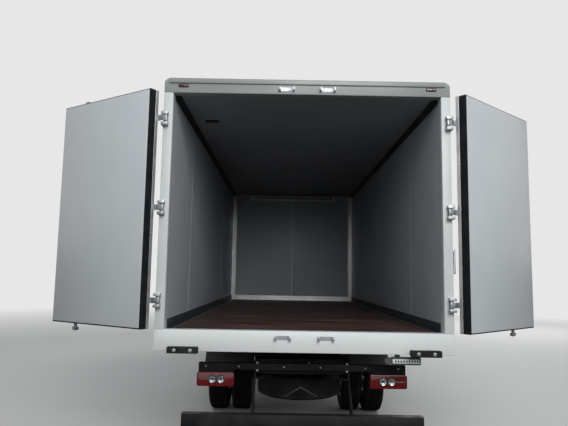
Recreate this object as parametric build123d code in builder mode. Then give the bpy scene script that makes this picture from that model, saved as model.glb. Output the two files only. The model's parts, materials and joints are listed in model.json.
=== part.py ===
from build123d import *
import os
from math import cos, radians, sin, sqrt

# Refrigerated truck: a two-axle cab-over chassis that carries a sandwich-panel box.
# X is to the right, Y forward, Z up, in millimetres. The origin is on the ground,
# midway between the rearmost point of the open rear doors and the front bumper.

os.makedirs("parts", exist_ok=True)

# Load box, measured from the portal's rear face and its bottom edge
box_width = 2300.0
portal_bottom = 920.0
portal_height = 2151.0
portal_depth = 90.0
portal_corner_radius = 40.0
sill_height = 161.0
header_height = 118.0
wall_thickness = 70.0
side_inset = 3.5
floor_rise = 153.0
floor_thickness = 113.0
ceiling_drop = 106.0
roof_thickness = 90.0
roof_cap_height = 40.0
roof_cap_reach = 14.0

# Trims inside the box
kick_height = 78.0
kick_width = 45.0
trim_gauge = 4.0
coving_leg = 42.0
trim_start_gap = 8.0

# Rear doors, in the photo's open positions
door_gap = 10.0
door_edge_gap = 7.0
door_centre_gap = 8.0
door_thickness = 98.0
door_frame_depth = 30.0
seal_thickness = 8.0
seal_depth = 62.0
pin_out = 1120.0
pin_behind = 35.0
open_left = 213.05
open_right = 221.38
hinge_low = 380.0
hinge_top_drop = 341.0
pin_radius = 7.0
pin_clearance = 0.05
knuckle_radius = 12.0
knuckle_length = 60.0
strap_gauge = 6.0
strap_lift = 2.0
strap_width = 44.0
strap_reach = 190.0
rod_from_centre = 165.0
rod_radius = 13.5
rod_standoff = 8.5
keeper_low = 111.0
keeper_top_drop = 77.0
keeper_length = 125.0
keeper_gauge = 3.0
keeper_claw = 14.0
keeper_reach = 40.0
keeper_height = 30.0
cam_width = 56.0
cam_height = 24.0
clamp_low = 250.0
clamp_top_drop = 251.0
clamp_count = 4
handle_rise = 470.0
handle_length = 290.0

# Rear face fittings
bracket_height = 110.0
bracket_gauge = 8.0
bracket_wrap = 40.0
buffer_inner = 806.0
buffer_outer = 1037.0
buffer_height = 48.0
buffer_overlap = 37.0
buffer_reach = 62.0
grab_bottom = 620.0
grab_top = 810.0
grab_standoff = 24.0
grab_bar = 12.0
marker_width = 78.0
marker_height = 22.0
marker_depth = 12.0
marker_drop = 61.0
marker_out = 997.0

# Chassis
rail_top = 840.0
rail_height = 190.0
rail_flange = 65.0
rail_gauge = 8.0
frame_width = 780.0
frame_start = 395.0
frame_end_gap = 270.0
crossmember_height = 120.0
crossmember_width = 60.0
coupling_spacing_x = 120.0
coupling_spacing_z = 55.0
coupling_hole_radius = 7.5
runner_height = 60.0
bearer_width = 60.0
bearer_half = 1100.0
bearer_count = 9
rear_axle_back = 2200.0
wheelbase = 4250.0
axle_to_cab_front = 1090.0

# Wheels
tyre_radius = 390.0
tyre_width = 215.0
rim_radius = 228.0
rim_gauge = 10.0
bead_inset = 22.0
flange_height = 10.0
flange_gauge = 8.0
dish_offset = 125.0
disc_gauge = 12.0
hole_count = 8
hole_circle = 190.0
hole_radius = 17.0
front_wheel_out = 830.0
rear_wheel_out = 727.5
hub_radius = 75.0
hub_cap = 14.0
drum_radius = 157.0
front_hub_inner = 726.0
front_beam_width = 76.0
kingpin_out = 660.0
kingpin_radius = 15.0
eye_radius = 36.0
eye_height = 84.0
stub_radius = 25.0
rear_spindle_radius = 35.0
running_clearance = 0.05
open_eye_clearance = 1.0
arm_length = 180.0
tie_rod_radius = 14.0
ball_radius = 10.0

# Springs
spring_width = 70.0
spring_out = 352.0
leaf_gauge = 12.0
leaf_step = 0.2
spring_half = 600.0
spring_eye_height = 600.0
front_pad_top = 440.0
rear_tube_radius = 60.0
rear_pad_height = 20.0

# Rear end
lamp_beam_half = 850.0
lamp_beam_depth = 50.0
lamp_beam_bottom = 730.0
lamp_beam_height = 55.0
lamp_inner = 557.0
lamp_outer = 862.0
lamp_height = 113.0
lamp_depth = 62.0
lamp_drop = 20.0
underrun_half = 940.0
underrun_top = 432.0
underrun_height = 120.0
underrun_depth = 80.0
underrun_back = 110.0
underrun_arm_gauge = 12.0
spare_back = 1100.0
spare_bottom = 400.0
guard_radius = 485.0
guard_gauge = 6.0
guard_half_angle = 76.0
guard_inner = 470.0
guard_outer = 985.0

# Side equipment
side_guard_out = 1090.0
side_guard_rail_height = 100.0
side_guard_gauge = 25.0
side_guard_rises = (500.0, 700.0)
tank_length = 800.0
tank_height = 330.0
tank_width = 360.0
battery_length = 560.0

# Cab
cab_gap = 230.0
cab_length = 1640.0
cab_width = 2000.0
cab_height = 2200.0
cab_floor = 960.0
cab_skirt = 720.0
cab_wall = 50.0
bumper_lead = 50.0
bumper_bottom = 420.0
bumper_wall = 60.0
bumper_arm = 350.0
bumper_corner_radius = 120.0
pivot_height = 720.0
pivot_back = 170.0
pivot_radius = 20.0
arch_radius = 490.0
cab_corner_radius = 75.0
cab_door_gap = 6.0
mount_gap = 0.3
screen_base = 1330.0
belt = 1380.0
step_depth = 220.0
step_length = 250.0
step_rises = (50.0, 180.0)
step_height = 85.0
step_wall = 25.0

# Hinges of the cab doors
door_pin_out = 15.0
door_pin_radius = 6.0
door_knuckle_radius = 12.0
door_knuckle_length = 50.0
door_hinge_rises = (190.0, 480.0)
door_strap_reach = 95.0
door_strap_gauge = 8.0

# Mirrors
mirror_bottom = 1420.0
mirror_height = 380.0
mirror_out = 90.0
mirror_width = 180.0
mirror_depth = 70.0
mirror_tube_radius = 11.0
mirror_foot = 22.0

# Seats and steering wheel
seat_out = 130.0
driver_seat_width = 540.0
seat_aisle = 110.0
steering_radius = 215.0
steering_grip_radius = 16.0

# Refrigeration unit
condenser_width = 1750.0
condenser_height = 500.0
condenser_depth = 400.0
condenser_drop = 571.0
evaporator_width = 1540.0
evaporator_height = 86.0
evaporator_depth = 45.0

# Places worked out from the sizes above
cab_reach = wall_thickness + cab_gap + cab_length
cargo_length = rear_axle_back + wheelbase + axle_to_cab_front - cab_reach
hinge_high = portal_height - hinge_top_drop
hinge_heights = (hinge_low, (hinge_low + hinge_high) / 2, hinge_high)
keeper_heights = (keeper_low, portal_height - keeper_top_drop)
clamp_pitch = (portal_height - clamp_top_drop - clamp_low) / (clamp_count - 1)
clamp_heights = [clamp_low + i * clamp_pitch for i in range(clamp_count)]
half_width = box_width / 2
post_width = wall_thickness + side_inset
opening_half = half_width - post_width
wall_outer = half_width - side_inset
wall_inner = wall_outer - wall_thickness
leaf_start = pin_out - (opening_half - door_gap)
leaf_end = pin_out - door_centre_gap
leaf_face = pin_behind
leaf_back = leaf_face + door_thickness


def swung(angle):
    """How far behind the pin the leaf's inner hinge corner stands when open."""
    turn = radians(angle)
    return leaf_start * sin(turn) - leaf_back * cos(turn)


rear_reach = pin_behind + max(swung(open_left), swung(open_right))
front_reach = cargo_length + cab_reach + bumper_lead
rear = -(front_reach - rear_reach) / 2

box_floor_top = portal_bottom + floor_rise
box_floor_bottom = box_floor_top - floor_thickness
ceiling = portal_bottom + portal_height - ceiling_drop
opening_bottom = portal_bottom + sill_height
opening_top = portal_bottom + portal_height - header_height
portal_top = portal_bottom + portal_height
panels_start = rear + portal_depth
front_wall_inner = rear + cargo_length
box_front = front_wall_inner + wall_thickness
frame_half = frame_width / 2
frame_rear = rear + frame_start
cab_rear = box_front + cab_gap
cab_front = cab_rear + cab_length
frame_front = cab_front - frame_end_gap
rail_bottom = rail_top - rail_height
rear_axle_y = rear + rear_axle_back
front_axle_y = rear_axle_y + wheelbase
axle_z = tyre_radius
pivot_y = cab_front - pivot_back


def span_box(x0, x1, y0, y1, z0, z1, mode=Mode.ADD):
    """A box between two corners, in the part that is being built."""
    with Locations(((x0 + x1) / 2, (y0 + y1) / 2, (z0 + z1) / 2)):
        Box(abs(x1 - x0), abs(y1 - y0), abs(z1 - z0), mode=mode)


def rod_x(x0, x1, y, z, radius, mode=Mode.ADD):
    """A round bar along X."""
    with Locations(Location(((x0 + x1) / 2, y, z), (0, 90, 0))):
        Cylinder(radius, abs(x1 - x0), mode=mode)


def rod_y(x, y0, y1, z, radius, mode=Mode.ADD):
    """A round bar along Y."""
    with Locations(Location((x, (y0 + y1) / 2, z), (90, 0, 0))):
        Cylinder(radius, abs(y1 - y0), mode=mode)


def rod_z(x, y, z0, z1, radius, mode=Mode.ADD):
    """A round bar along Z."""
    with Locations((x, y, (z0 + z1) / 2)):
        Cylinder(radius, abs(z1 - z0), mode=mode)


def save(builder, name):
    builder.part.label = name
    export_step(builder.part, "parts/" + name + ".step")


with_sides = (("left", -1), ("right", 1))


# Chassis frame: two channels with their flanges turned inwards
with BuildPart() as frame_rails:
    for side in (-1, 1):
        web_out = side * frame_half
        web_in = side * (frame_half - rail_gauge)
        lip = side * (frame_half - rail_flange)
        with BuildSketch(Plane.XZ.offset(-frame_front)):
            with BuildLine():
                Polyline(
                    (web_out, rail_bottom),
                    (web_out, rail_top),
                    (lip, rail_top),
                    (lip, rail_top - rail_gauge),
                    (web_in, rail_top - rail_gauge),
                    (web_in, rail_bottom + rail_gauge),
                    (lip, rail_bottom + rail_gauge),
                    (lip, rail_bottom),
                    close=True,
                )
            make_face()
        extrude(amount=frame_front - frame_rear)
save(frame_rails, "frame_rails")

# Crossmembers between the rails' webs, and the cab's pivot tube at the front
member_top = rail_top - rail_gauge - 20
member_inner = frame_half - rail_gauge
spare_member = spare_back - frame_start - crossmember_width / 2
member_backs = (30.0, spare_member, 1750.0, 2900.0, 3800.0, 4700.0)
with BuildPart() as crossmembers:
    for back in member_backs:
        y = frame_rear + back
        span_box(-member_inner, member_inner, y, y + crossmember_width,
                 member_top - crossmember_height, member_top)
        span_box(-member_inner + 40, member_inner - 40, y + 8, y + crossmember_width,
                 member_top - crossmember_height + 8, member_top - 8, Mode.SUBTRACT)
    with BuildSketch(Plane.XZ.offset(-frame_rear)):
        with Locations((0, member_top - crossmember_height / 2)):
            with GridLocations(coupling_spacing_x, coupling_spacing_z, 2, 2):
                Circle(coupling_hole_radius)
    extrude(amount=-2 * crossmember_width, mode=Mode.SUBTRACT)
    span_box(-member_inner, member_inner, frame_front - crossmember_width - 20, frame_front - 20,
             rail_bottom + rail_gauge + 2, rail_bottom + 100)
    for side in (-1, 1):
        span_box(side * (frame_half - rail_flange), side * frame_half, cab_rear + 20, cab_rear + 80,
                 rail_top, cab_floor - mount_gap)
    rod_x(-frame_half - 40, frame_half + 40, pivot_y, pivot_height, pivot_radius)
    for side in (-1, 1):
        with BuildSketch(Plane.YZ.offset(side * (frame_half + 6) - 6)):
            with BuildLine():
                Polyline(
                    (frame_front - 120, rail_bottom + 10),
                    (pivot_y + 35, pivot_height - 35),
                    (pivot_y + 35, pivot_height + 35),
                    (frame_front - 120, rail_top - 10),
                    close=True,
                )
            make_face()
        extrude(amount=12)
save(crossmembers, "crossmembers")

# Subframe: runners on the rails and cross bearers under the box floor
runner_top = rail_top + runner_height
bearer_first = frame_rear + 45
bearer_pitch = (box_front - 120 - bearer_first) / (bearer_count - 1)
bearer_places = [bearer_first + i * bearer_pitch for i in range(bearer_count)]
with BuildPart() as body_bearers:
    for side in (-1, 1):
        span_box(side * (frame_half - rail_flange), side * frame_half,
                 frame_rear, box_front - 40, rail_top, runner_top)
    for y in bearer_places:
        span_box(-bearer_half, bearer_half, y - bearer_width / 2, y + bearer_width / 2,
                 runner_top, box_floor_bottom)
save(body_bearers, "body_bearers")

# Engine as a plain block, gearbox and propeller shaft
engine_rear = front_axle_y - 300
engine_front = front_axle_y + 520
gearbox_rear = engine_rear - 520
shaft_drop_y = rear_axle_y + 210
with BuildPart() as driveline:
    span_box(-280, 280, engine_rear, engine_front, 500, 925)
    fillet(driveline.edges().filter_by(Axis.Y), 40)
    with BuildSketch(Plane.XZ.offset(-engine_rear)):
        with Locations((0, 640)):
            Circle(170)
    with BuildSketch(Plane.XZ.offset(-gearbox_rear)):
        with Locations((0, 620)):
            Circle(95)
    loft()
    shaft_path = Edge.make_line((0, gearbox_rear + 10, 620), (0, shaft_drop_y, axle_z + 10))
    shaft_plane = Plane(origin=shaft_path @ 0, z_dir=shaft_path % 0)
    with BuildSketch(shaft_plane):
        Circle(45)
    extrude(amount=shaft_path.length + 20)
    span_box(-100, 100, shaft_drop_y - 60, shaft_drop_y, axle_z - 100, axle_z + 120, Mode.SUBTRACT)
save(driveline, "driveline")

# Front axle: a dropped I-beam with kingpin eyes and spring pads
with BuildPart() as front_axle:
    with BuildSketch(Plane.XZ.offset(-front_axle_y - front_beam_width / 2)):
        with BuildLine():
            Polyline(
                (0, 385),
                (225, 385),
                (300, front_pad_top),
                (480, front_pad_top),
                (kingpin_out - 10, 420),
                (kingpin_out - 10, 362),
                (520, 368),
                (330, 372),
                (250, 320),
                (0, 320),
                close=True,
            )
        make_face()
        mirror(about=Plane.YZ)
    extrude(amount=front_beam_width)
    for side in (-1, 1):
        rod_z(side * kingpin_out, front_axle_y, axle_z - eye_height / 2, axle_z + eye_height / 2,
              eye_radius)
        rod_z(side * kingpin_out, front_axle_y, axle_z - eye_height, axle_z + eye_height,
              kingpin_radius + running_clearance, Mode.SUBTRACT)
save(front_axle, "front_axle")

# Rear axle: a banjo housing with its differential, tubes, spring pads and spindles
rear_pad_top = axle_z + rear_tube_radius + rear_pad_height
drum_inner = rear_wheel_out - dish_offset - tyre_width / 2 + 20
with BuildPart() as rear_axle:
    rod_x(-drum_inner + 10, drum_inner - 10, rear_axle_y, axle_z, rear_tube_radius)
    rod_x(-rear_wheel_out - 60, rear_wheel_out + 60, rear_axle_y, axle_z, rear_spindle_radius)
    with BuildSketch(Plane.XZ.offset(-rear_axle_y - 100)):
        with Locations((0, axle_z)):
            Circle(165)
    extrude(amount=200)
    with BuildSketch(Plane.XZ.offset(-rear_axle_y)):
        with Locations((0, axle_z + 10)):
            Circle(130)
    with BuildSketch(Plane.XZ.offset(-shaft_drop_y)):
        with Locations((0, axle_z + 10)):
            Circle(60)
    loft()
    for side in (-1, 1):
        span_box(side * spring_out, side * (spring_out + spring_width),
                 rear_axle_y - 70, rear_axle_y + 70, axle_z, rear_pad_top)
save(rear_axle, "rear_axle")


def leaf_pack(plane, axle_y, seat, leaves):
    """The side outline of a spring: stacked leaves from the seat up to two eyes."""
    rise = spring_eye_height - seat - leaves * leaf_gauge
    with BuildSketch(plane) as pack:
        for i in range(leaves):
            half = spring_half * (1 - leaf_step * (leaves - 1 - i))
            low = seat + i * leaf_gauge
            high = low + leaf_gauge + 0.5
            lift = rise * (half / spring_half) ** 2
            with BuildLine():
                ThreePointArc((axle_y - half, low + lift), (axle_y, low), (axle_y + half, low + lift))
                Line((axle_y + half, low + lift), (axle_y + half, high + lift))
                ThreePointArc((axle_y + half, high + lift), (axle_y, high), (axle_y - half, high + lift))
                Line((axle_y - half, high + lift), (axle_y - half, low + lift))
            make_face()
        with Locations(*[(axle_y + end * (spring_half + 6), spring_eye_height + 2) for end in (-1, 1)]):
            Circle(24)
    return pack.sketch


# Leaf springs with their hangers under the rails
springs = (
    (front_axle_y, front_pad_top, 4),
    (rear_axle_y, rear_pad_top, 5),
)
with BuildPart() as leaf_springs:
    for axle_y, seat, leaves in springs:
        for side in (-1, 1):
            inner = side * spring_out if side > 0 else -(spring_out + spring_width)
            extrude(leaf_pack(Plane.YZ.offset(inner), axle_y, seat, leaves), amount=spring_width)
            middle = side * (spring_out + spring_width / 2)
            pack_top = seat + leaves * leaf_gauge
            span_box(middle - 45, middle + 45, axle_y - 60, axle_y + 60, pack_top, pack_top + 18)
            for end in (-1, 1):
                eye_y = axle_y + end * (spring_half + 6)
                for cheek in (-1, 1):
                    x = middle + cheek * (spring_width / 2 + 4)
                    span_box(x - 5, x + 5, eye_y - 28, eye_y + 28, spring_eye_height - 26, rail_bottom)
save(leaf_springs, "leaf_springs")

# Fuel tank on the right, hung from the rail by two brackets and straps
tank_rear = rear_axle_y + 1100
tank_top = rail_top - 30
with BuildPart() as fuel_tank:
    span_box(frame_half + 40, frame_half + 40 + tank_width, tank_rear, tank_rear + tank_length,
             tank_top - tank_height, tank_top)
    fillet(fuel_tank.edges().filter_by(Axis.Y), 70)
    for y in (tank_rear + 150, tank_rear + tank_length - 150):
        span_box(frame_half, frame_half + 60, y - 25, y + 25, tank_top - tank_height + 60, tank_top - 40)
    rod_z(frame_half + 40 + tank_width - 110, tank_rear + tank_length - 90, tank_top - 40,
          tank_top + 35, 38)
save(fuel_tank, "fuel_tank")

# Battery box on the left
battery_rear = front_axle_y - 1250
with BuildPart() as battery_box:
    span_box(-frame_half - 380, -frame_half - 20, battery_rear, battery_rear + battery_length,
             rail_top - 330, rail_top - 40)
    fillet(battery_box.edges().filter_by(Axis.Y), 25)
    for y in (battery_rear + 80, battery_rear + battery_length - 80):
        span_box(-frame_half - 40, -frame_half, y - 20, y + 20, rail_top - 170, rail_top - 60)
save(battery_box, "battery_box")

# Exhaust: front pipe, silencer and tailpipe on the left
silencer_x = -frame_half - 175
silencer_z = 560.0
silencer_front = battery_rear - 330
silencer_rear = silencer_front - 900
with BuildPart() as exhaust:
    rod_y(silencer_x, silencer_rear, silencer_front, silencer_z, 120)
    fillet(exhaust.edges().filter_by(GeomType.CIRCLE), 20)
    front_run = (
        (silencer_x, silencer_front - 10, silencer_z),
        (silencer_x, silencer_front + 70, silencer_z),
        (-240, silencer_front + 400, silencer_z),
        (-240, engine_rear, silencer_z),
    )
    tail_run = (
        (silencer_x, silencer_rear + 10, silencer_z),
        (silencer_x, silencer_rear - 110, silencer_z),
        (silencer_x - 330, silencer_rear - 300, silencer_z - 40),
    )
    for run in (front_run, tail_run):
        with BuildLine() as pipe_path:
            FilletPolyline(*run, radius=60)
        with BuildSketch(Plane(origin=run[0], z_dir=pipe_path.line % 0)):
            Circle(32)
        sweep(path=pipe_path.line)
    for y in (silencer_front - 700, silencer_front - 200):
        span_box(silencer_x + 40, -frame_half, y - 20, y + 20, silencer_z + 95, silencer_z + 200)
save(exhaust, "exhaust")

# Mudguards over the twin wheels: half-round sheets on stays from the rails
with BuildPart() as mudguards:
    for side in (-1, 1):
        start = side * guard_inner if side > 0 else -guard_outer
        with BuildSketch(Plane.YZ.offset(start)):
            with BuildLine():
                for radius in (guard_radius, guard_radius + guard_gauge):
                    CenterArc((rear_axle_y, axle_z), radius, 90 - guard_half_angle,
                              2 * guard_half_angle)
                for end in (90 - guard_half_angle, 90 + guard_half_angle):
                    PolarLine((rear_axle_y + guard_radius * cos(radians(end)),
                               axle_z + guard_radius * sin(radians(end))), guard_gauge, end)
            make_face()
        extrude(amount=guard_outer - guard_inner)
        for fore in (-1, 1):
            stay_z = axle_z + sqrt((guard_radius + 3) ** 2 - 330 ** 2)
            rod_x(side * frame_half, side * (guard_inner + 320), rear_axle_y + fore * 330, stay_z, 14)
save(mudguards, "mudguards")

# Side guards hung from the cross bearers
guard_start = rear_axle_y + 640
guard_end = front_axle_y - 640
with BuildPart() as side_guards:
    for side in (-1, 1):
        inner = side * (side_guard_out - side_guard_gauge)
        outer = side * side_guard_out
        for rise in side_guard_rises:
            span_box(inner, outer, guard_start, guard_end, rise, rise + side_guard_rail_height)
        for y in bearer_places[::2]:
            if guard_start + 100 < y < guard_end - 100:
                span_box(side * (side_guard_out - side_guard_gauge - 30), inner, y - 20, y + 20,
                         side_guard_rises[0], runner_top)
save(side_guards, "side_guards")

# Underrun bar with its two arms
arm_y = frame_rear + 60
with BuildPart() as underrun_bar:
    span_box(-underrun_half, underrun_half, rear + underrun_back, rear + underrun_back + underrun_depth,
             underrun_top - underrun_height, underrun_top)
    fillet(underrun_bar.edges().filter_by(Axis.Z), 12)
    for side in (-1, 1):
        start = frame_half if side > 0 else -frame_half - underrun_arm_gauge
        with BuildSketch(Plane.YZ.offset(start)):
            with BuildLine():
                Polyline(
                    (rear + underrun_back + underrun_depth - 10, underrun_top - underrun_height + 10),
                    (rear + underrun_back + underrun_depth + 60, underrun_top - underrun_height + 10),
                    (arm_y + 160, rail_bottom - 10),
                    (arm_y + 160, rail_top - 70),
                    (arm_y, rail_top - 70),
                    (arm_y, rail_bottom),
                    (rear + underrun_back + underrun_depth - 10, underrun_top - 10),
                    close=True,
                )
            make_face()
        extrude(amount=underrun_arm_gauge)
save(underrun_bar, "underrun_bar")

# Lamp beam across the rail ends, with the lamps' brackets
beam_y0 = frame_rear - lamp_beam_depth
lamp_top = lamp_beam_bottom - lamp_drop
with BuildPart() as lamp_beam:
    span_box(-lamp_beam_half, lamp_beam_half, beam_y0, frame_rear, lamp_beam_bottom,
             lamp_beam_bottom + lamp_beam_height)
    for side in (-1, 1):
        span_box(side * lamp_inner, side * lamp_beam_half, beam_y0, frame_rear - 42, lamp_top,
                 lamp_beam_bottom)
save(lamp_beam, "lamp_beam")

# Tail lamps under the beam and marker lamps on the portal's header
with BuildPart() as rear_lamps:
    for side in (-1, 1):
        span_box(side * lamp_inner, side * lamp_outer, frame_rear - lamp_beam_depth - 5,
                 frame_rear - lamp_beam_depth - 5 + lamp_depth, lamp_top - lamp_height, lamp_top)
    fillet(rear_lamps.edges().filter_by(Axis.Y), 14)
    for side in (-1, 1):
        with Locations((side * marker_out, rear - marker_depth / 2, portal_top - marker_drop)):
            Box(marker_width, marker_depth, marker_height)
save(rear_lamps, "rear_lamps")

# Wheels and tyres


def tyre_section(plane, x):
    """Half section of a tyre: bead, bulging sidewall, rounded shoulder and tread."""
    half = tyre_width / 2
    bead = half - bead_inset
    crown = half - 38
    middle = (rim_radius + tyre_radius) / 2
    bead_top = rim_radius + flange_height
    with BuildSketch(plane) as section:
        with BuildLine():
            Polyline((x - bead, bead_top), (x - bead, rim_radius), (x + bead, rim_radius), (x + bead, bead_top))
            ThreePointArc((x + bead, bead_top), (x + half, middle), (x + crown + 24, tyre_radius - 22))
            ThreePointArc((x + crown + 24, tyre_radius - 22), (x + crown + 18, tyre_radius - 7),
                          (x + crown, tyre_radius))
            Line((x + crown, tyre_radius), (x - crown, tyre_radius))
            ThreePointArc((x - crown, tyre_radius), (x - crown - 18, tyre_radius - 7),
                          (x - crown - 24, tyre_radius - 22))
            ThreePointArc((x - crown - 24, tyre_radius - 22), (x - half, middle), (x - bead, bead_top))
        make_face()
    return section.sketch


def barrel_section(plane, x):
    """Half section of a rim's barrel with a flange at each bead."""
    half = tyre_width / 2 - bead_inset
    lip = half + flange_gauge
    with BuildSketch(plane) as section:
        with BuildLine():
            Polyline(
                (x - lip, rim_radius + flange_height),
                (x - half, rim_radius + flange_height),
                (x - half, rim_radius),
                (x + half, rim_radius),
                (x + half, rim_radius + flange_height),
                (x + lip, rim_radius + flange_height),
                (x + lip, rim_radius - rim_gauge),
                (x - lip, rim_radius - rim_gauge),
                close=True,
            )
        make_face()
    return section.sketch


def dish_section(plane, face, inward):
    """Half section of a wheel's disc: flat on the hub's face, then dished out to its barrel."""
    gauge = inward * disc_gauge
    reach = inward * (dish_offset - tyre_width / 2 + bead_inset)
    with BuildSketch(plane) as section:
        with BuildLine():
            Polyline(
                (face, hub_radius - 5),
                (face, drum_radius + 8),
                (face + reach, rim_radius - rim_gauge / 2),
                (face + reach + 1.6 * gauge, rim_radius - rim_gauge / 2),
                (face + gauge, drum_radius),
                (face + gauge, hub_radius - 5),
                close=True,
            )
        make_face()
    return section.sketch


# Each wheel: side, axle, distances of its tyres' centres, the hub's inner face, how far the
# hub stands out from the discs, and the spindle that it turns on
front_face = front_wheel_out + dish_offset
rear_inner = rear_wheel_out - dish_offset
rear_outer = rear_wheel_out + dish_offset
wheels = (
    ("front_left", -1, front_axle_y, (front_wheel_out,), front_face, front_hub_inner, 38, stub_radius),
    ("front_right", 1, front_axle_y, (front_wheel_out,), front_face, front_hub_inner, 38, stub_radius),
    ("rear_left", -1, rear_axle_y, (rear_inner, rear_outer), rear_wheel_out, drum_inner + 10.3, 90,
     rear_spindle_radius),
    ("rear_right", 1, rear_axle_y, (rear_inner, rear_outer), rear_wheel_out, drum_inner + 10.3, 90,
     rear_spindle_radius),
)
for name, side, axle_y, centres, disc_x, hub_inner, hub_reach, bore in wheels:
    section_plane = Plane(origin=(0, axle_y, axle_z), x_dir=(1, 0, 0), z_dir=(0, -1, 0))
    wheel_axis = Axis((0, axle_y, axle_z), (1, 0, 0))
    with BuildPart() as tyre:
        for centre in centres:
            revolve(tyre_section(section_plane, side * centre), axis=wheel_axis)
    save(tyre, name + "_tyre")
    with BuildPart() as rim:
        for centre in centres:
            revolve(barrel_section(section_plane, side * centre), axis=wheel_axis)
            inward = -side if centre < disc_x else side
            revolve(dish_section(section_plane, side * disc_x, inward), axis=wheel_axis)
        hub_outer = disc_x + hub_reach
        drum_outer = hub_inner + 75
        with BuildSketch(section_plane):
            with BuildLine():
                Polyline(
                    (side * hub_outer, 0),
                    (side * hub_outer, hub_radius - 12),
                    (side * (hub_outer - 12), hub_radius),
                    (side * drum_outer, hub_radius),
                    (side * drum_outer, drum_radius),
                    (side * hub_inner, drum_radius),
                    (side * hub_inner, bore + running_clearance),
                    (side * (hub_outer - hub_cap), bore + running_clearance),
                    (side * (hub_outer - hub_cap), 0),
                    close=True,
                )
            make_face()
        revolve(axis=wheel_axis)
        with BuildSketch(Plane(origin=(side * (disc_x - 80), axle_y, axle_z), z_dir=(side, 0, 0))):
            with PolarLocations(hole_circle, hole_count):
                Circle(hole_radius)
        extrude(amount=160, mode=Mode.SUBTRACT)
    save(rim, name + "_rim")

# Spare wheel, flat under the rear overhang on its carrier
spare_y = rear + spare_back
spare_z = spare_bottom + tyre_width / 2
spare_plane = Plane(origin=(0, spare_y, spare_z), x_dir=(0, 0, 1), z_dir=(0, 1, 0))
spare_axis = Axis((0, spare_y, spare_z), (0, 0, 1))
with BuildPart() as spare_tyre:
    revolve(tyre_section(spare_plane, 0), axis=spare_axis)
save(spare_tyre, "spare_tyre")

with BuildPart() as spare_rim:
    revolve(barrel_section(spare_plane, 0), axis=spare_axis)
    revolve(dish_section(spare_plane, -dish_offset, 1), axis=spare_axis)
    with Locations((0, spare_y, spare_z - dish_offset + disc_gauge / 2)):
        Cylinder(hub_radius + 10, disc_gauge)
    with BuildSketch(Plane.XY.offset(spare_z - dish_offset - 10)):
        with Locations((0, spare_y)):
            with PolarLocations(hole_circle, hole_count):
                Circle(hole_radius)
    extrude(amount=80, mode=Mode.SUBTRACT)
    rod_z(0, spare_y, spare_z - dish_offset - 30, member_top - crossmember_height, 16)
save(spare_rim, "spare_rim")

# Knuckles: a forked boss with its kingpin, stub axle and steering arm
arm_z = axle_z - eye_height / 2 - 26
for name, side in with_sides:
    with BuildPart() as knuckle:
        x = side * kingpin_out
        for low in (axle_z + eye_height / 2 + 2, axle_z - eye_height / 2 - 26):
            rod_z(x, front_axle_y, low, low + 24, 32)
            span_box(x, side * (kingpin_out + 60), front_axle_y - 30, front_axle_y + 30, low, low + 24)
        rod_z(x, front_axle_y, axle_z - eye_height / 2 - 20, axle_z + eye_height / 2 + 20,
              kingpin_radius)
        span_box(side * (kingpin_out + 44), side * (kingpin_out + 60), front_axle_y - 30,
                 front_axle_y + 30, axle_z - eye_height / 2 - 26, axle_z + eye_height / 2 + 26)
        rod_x(side * (kingpin_out + 50), side * (kingpin_out + 65), front_axle_y, axle_z, 60)
        rod_x(side * (kingpin_out + 50), side * (front_face + 15), front_axle_y, axle_z, stub_radius)
        span_box(x - 16, x + 16, front_axle_y - arm_length, front_axle_y - 20, arm_z, arm_z + 20)
        rod_z(x, front_axle_y - arm_length, arm_z, arm_z + 20, 20)
        rod_z(x, front_axle_y - arm_length, arm_z - 44, arm_z + 10, ball_radius)
    save(knuckle, name + "_knuckle")

# Tie rod between the two steering arms
with BuildPart() as tie_rod:
    rod_x(-kingpin_out, kingpin_out, front_axle_y - arm_length, arm_z - 25, tie_rod_radius)
    for side in (-1, 1):
        rod_z(side * kingpin_out, front_axle_y - arm_length, arm_z - 42, arm_z - 8, 24)
    for side, clearance in ((-1, running_clearance), (1, open_eye_clearance)):
        rod_z(side * kingpin_out, front_axle_y - arm_length, arm_z - 60, arm_z + 10,
              ball_radius + clearance, Mode.SUBTRACT)
save(tie_rod, "tie_rod")

# Box: floor, walls and roof, each one sandwich panel
with BuildPart() as box_floor:
    span_box(-wall_outer, wall_outer, panels_start, box_front, box_floor_bottom, box_floor_top)
save(box_floor, "box_floor")

for name, side in with_sides:
    with BuildPart() as side_wall:
        span_box(side * wall_inner, side * wall_outer, panels_start, box_front, box_floor_top, ceiling)
    save(side_wall, name + "_wall")

with BuildPart() as front_wall:
    span_box(-wall_inner, wall_inner, front_wall_inner, box_front, box_floor_top, ceiling)
save(front_wall, "front_wall")

with BuildPart() as roof:
    span_box(-wall_outer, wall_outer, panels_start, box_front, ceiling, ceiling + roof_thickness)
    fillet(roof.edges().filter_by(Axis.Y).group_by(Axis.Z)[-1], 30)
save(roof, "roof")

# Rear portal: posts, header with its cap, and sill in one frame
with BuildPart() as rear_portal:
    with BuildSketch(Plane.XZ.offset(-panels_start)):
        with Locations((0, portal_bottom + portal_height / 2)):
            Rectangle(box_width, portal_height)
        with Locations((0, (opening_bottom + opening_top) / 2)):
            Rectangle(2 * opening_half, opening_top - opening_bottom, mode=Mode.SUBTRACT)
    extrude(amount=portal_depth)
    top_corners = rear_portal.edges().filter_by(Axis.Y).group_by(Axis.Z)[-1]
    fillet(top_corners, portal_corner_radius)
    span_box(-half_width + portal_corner_radius, half_width - portal_corner_radius,
             rear - roof_cap_reach, rear, portal_top - roof_cap_height, portal_top)
save(rear_portal, "rear_portal")

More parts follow.
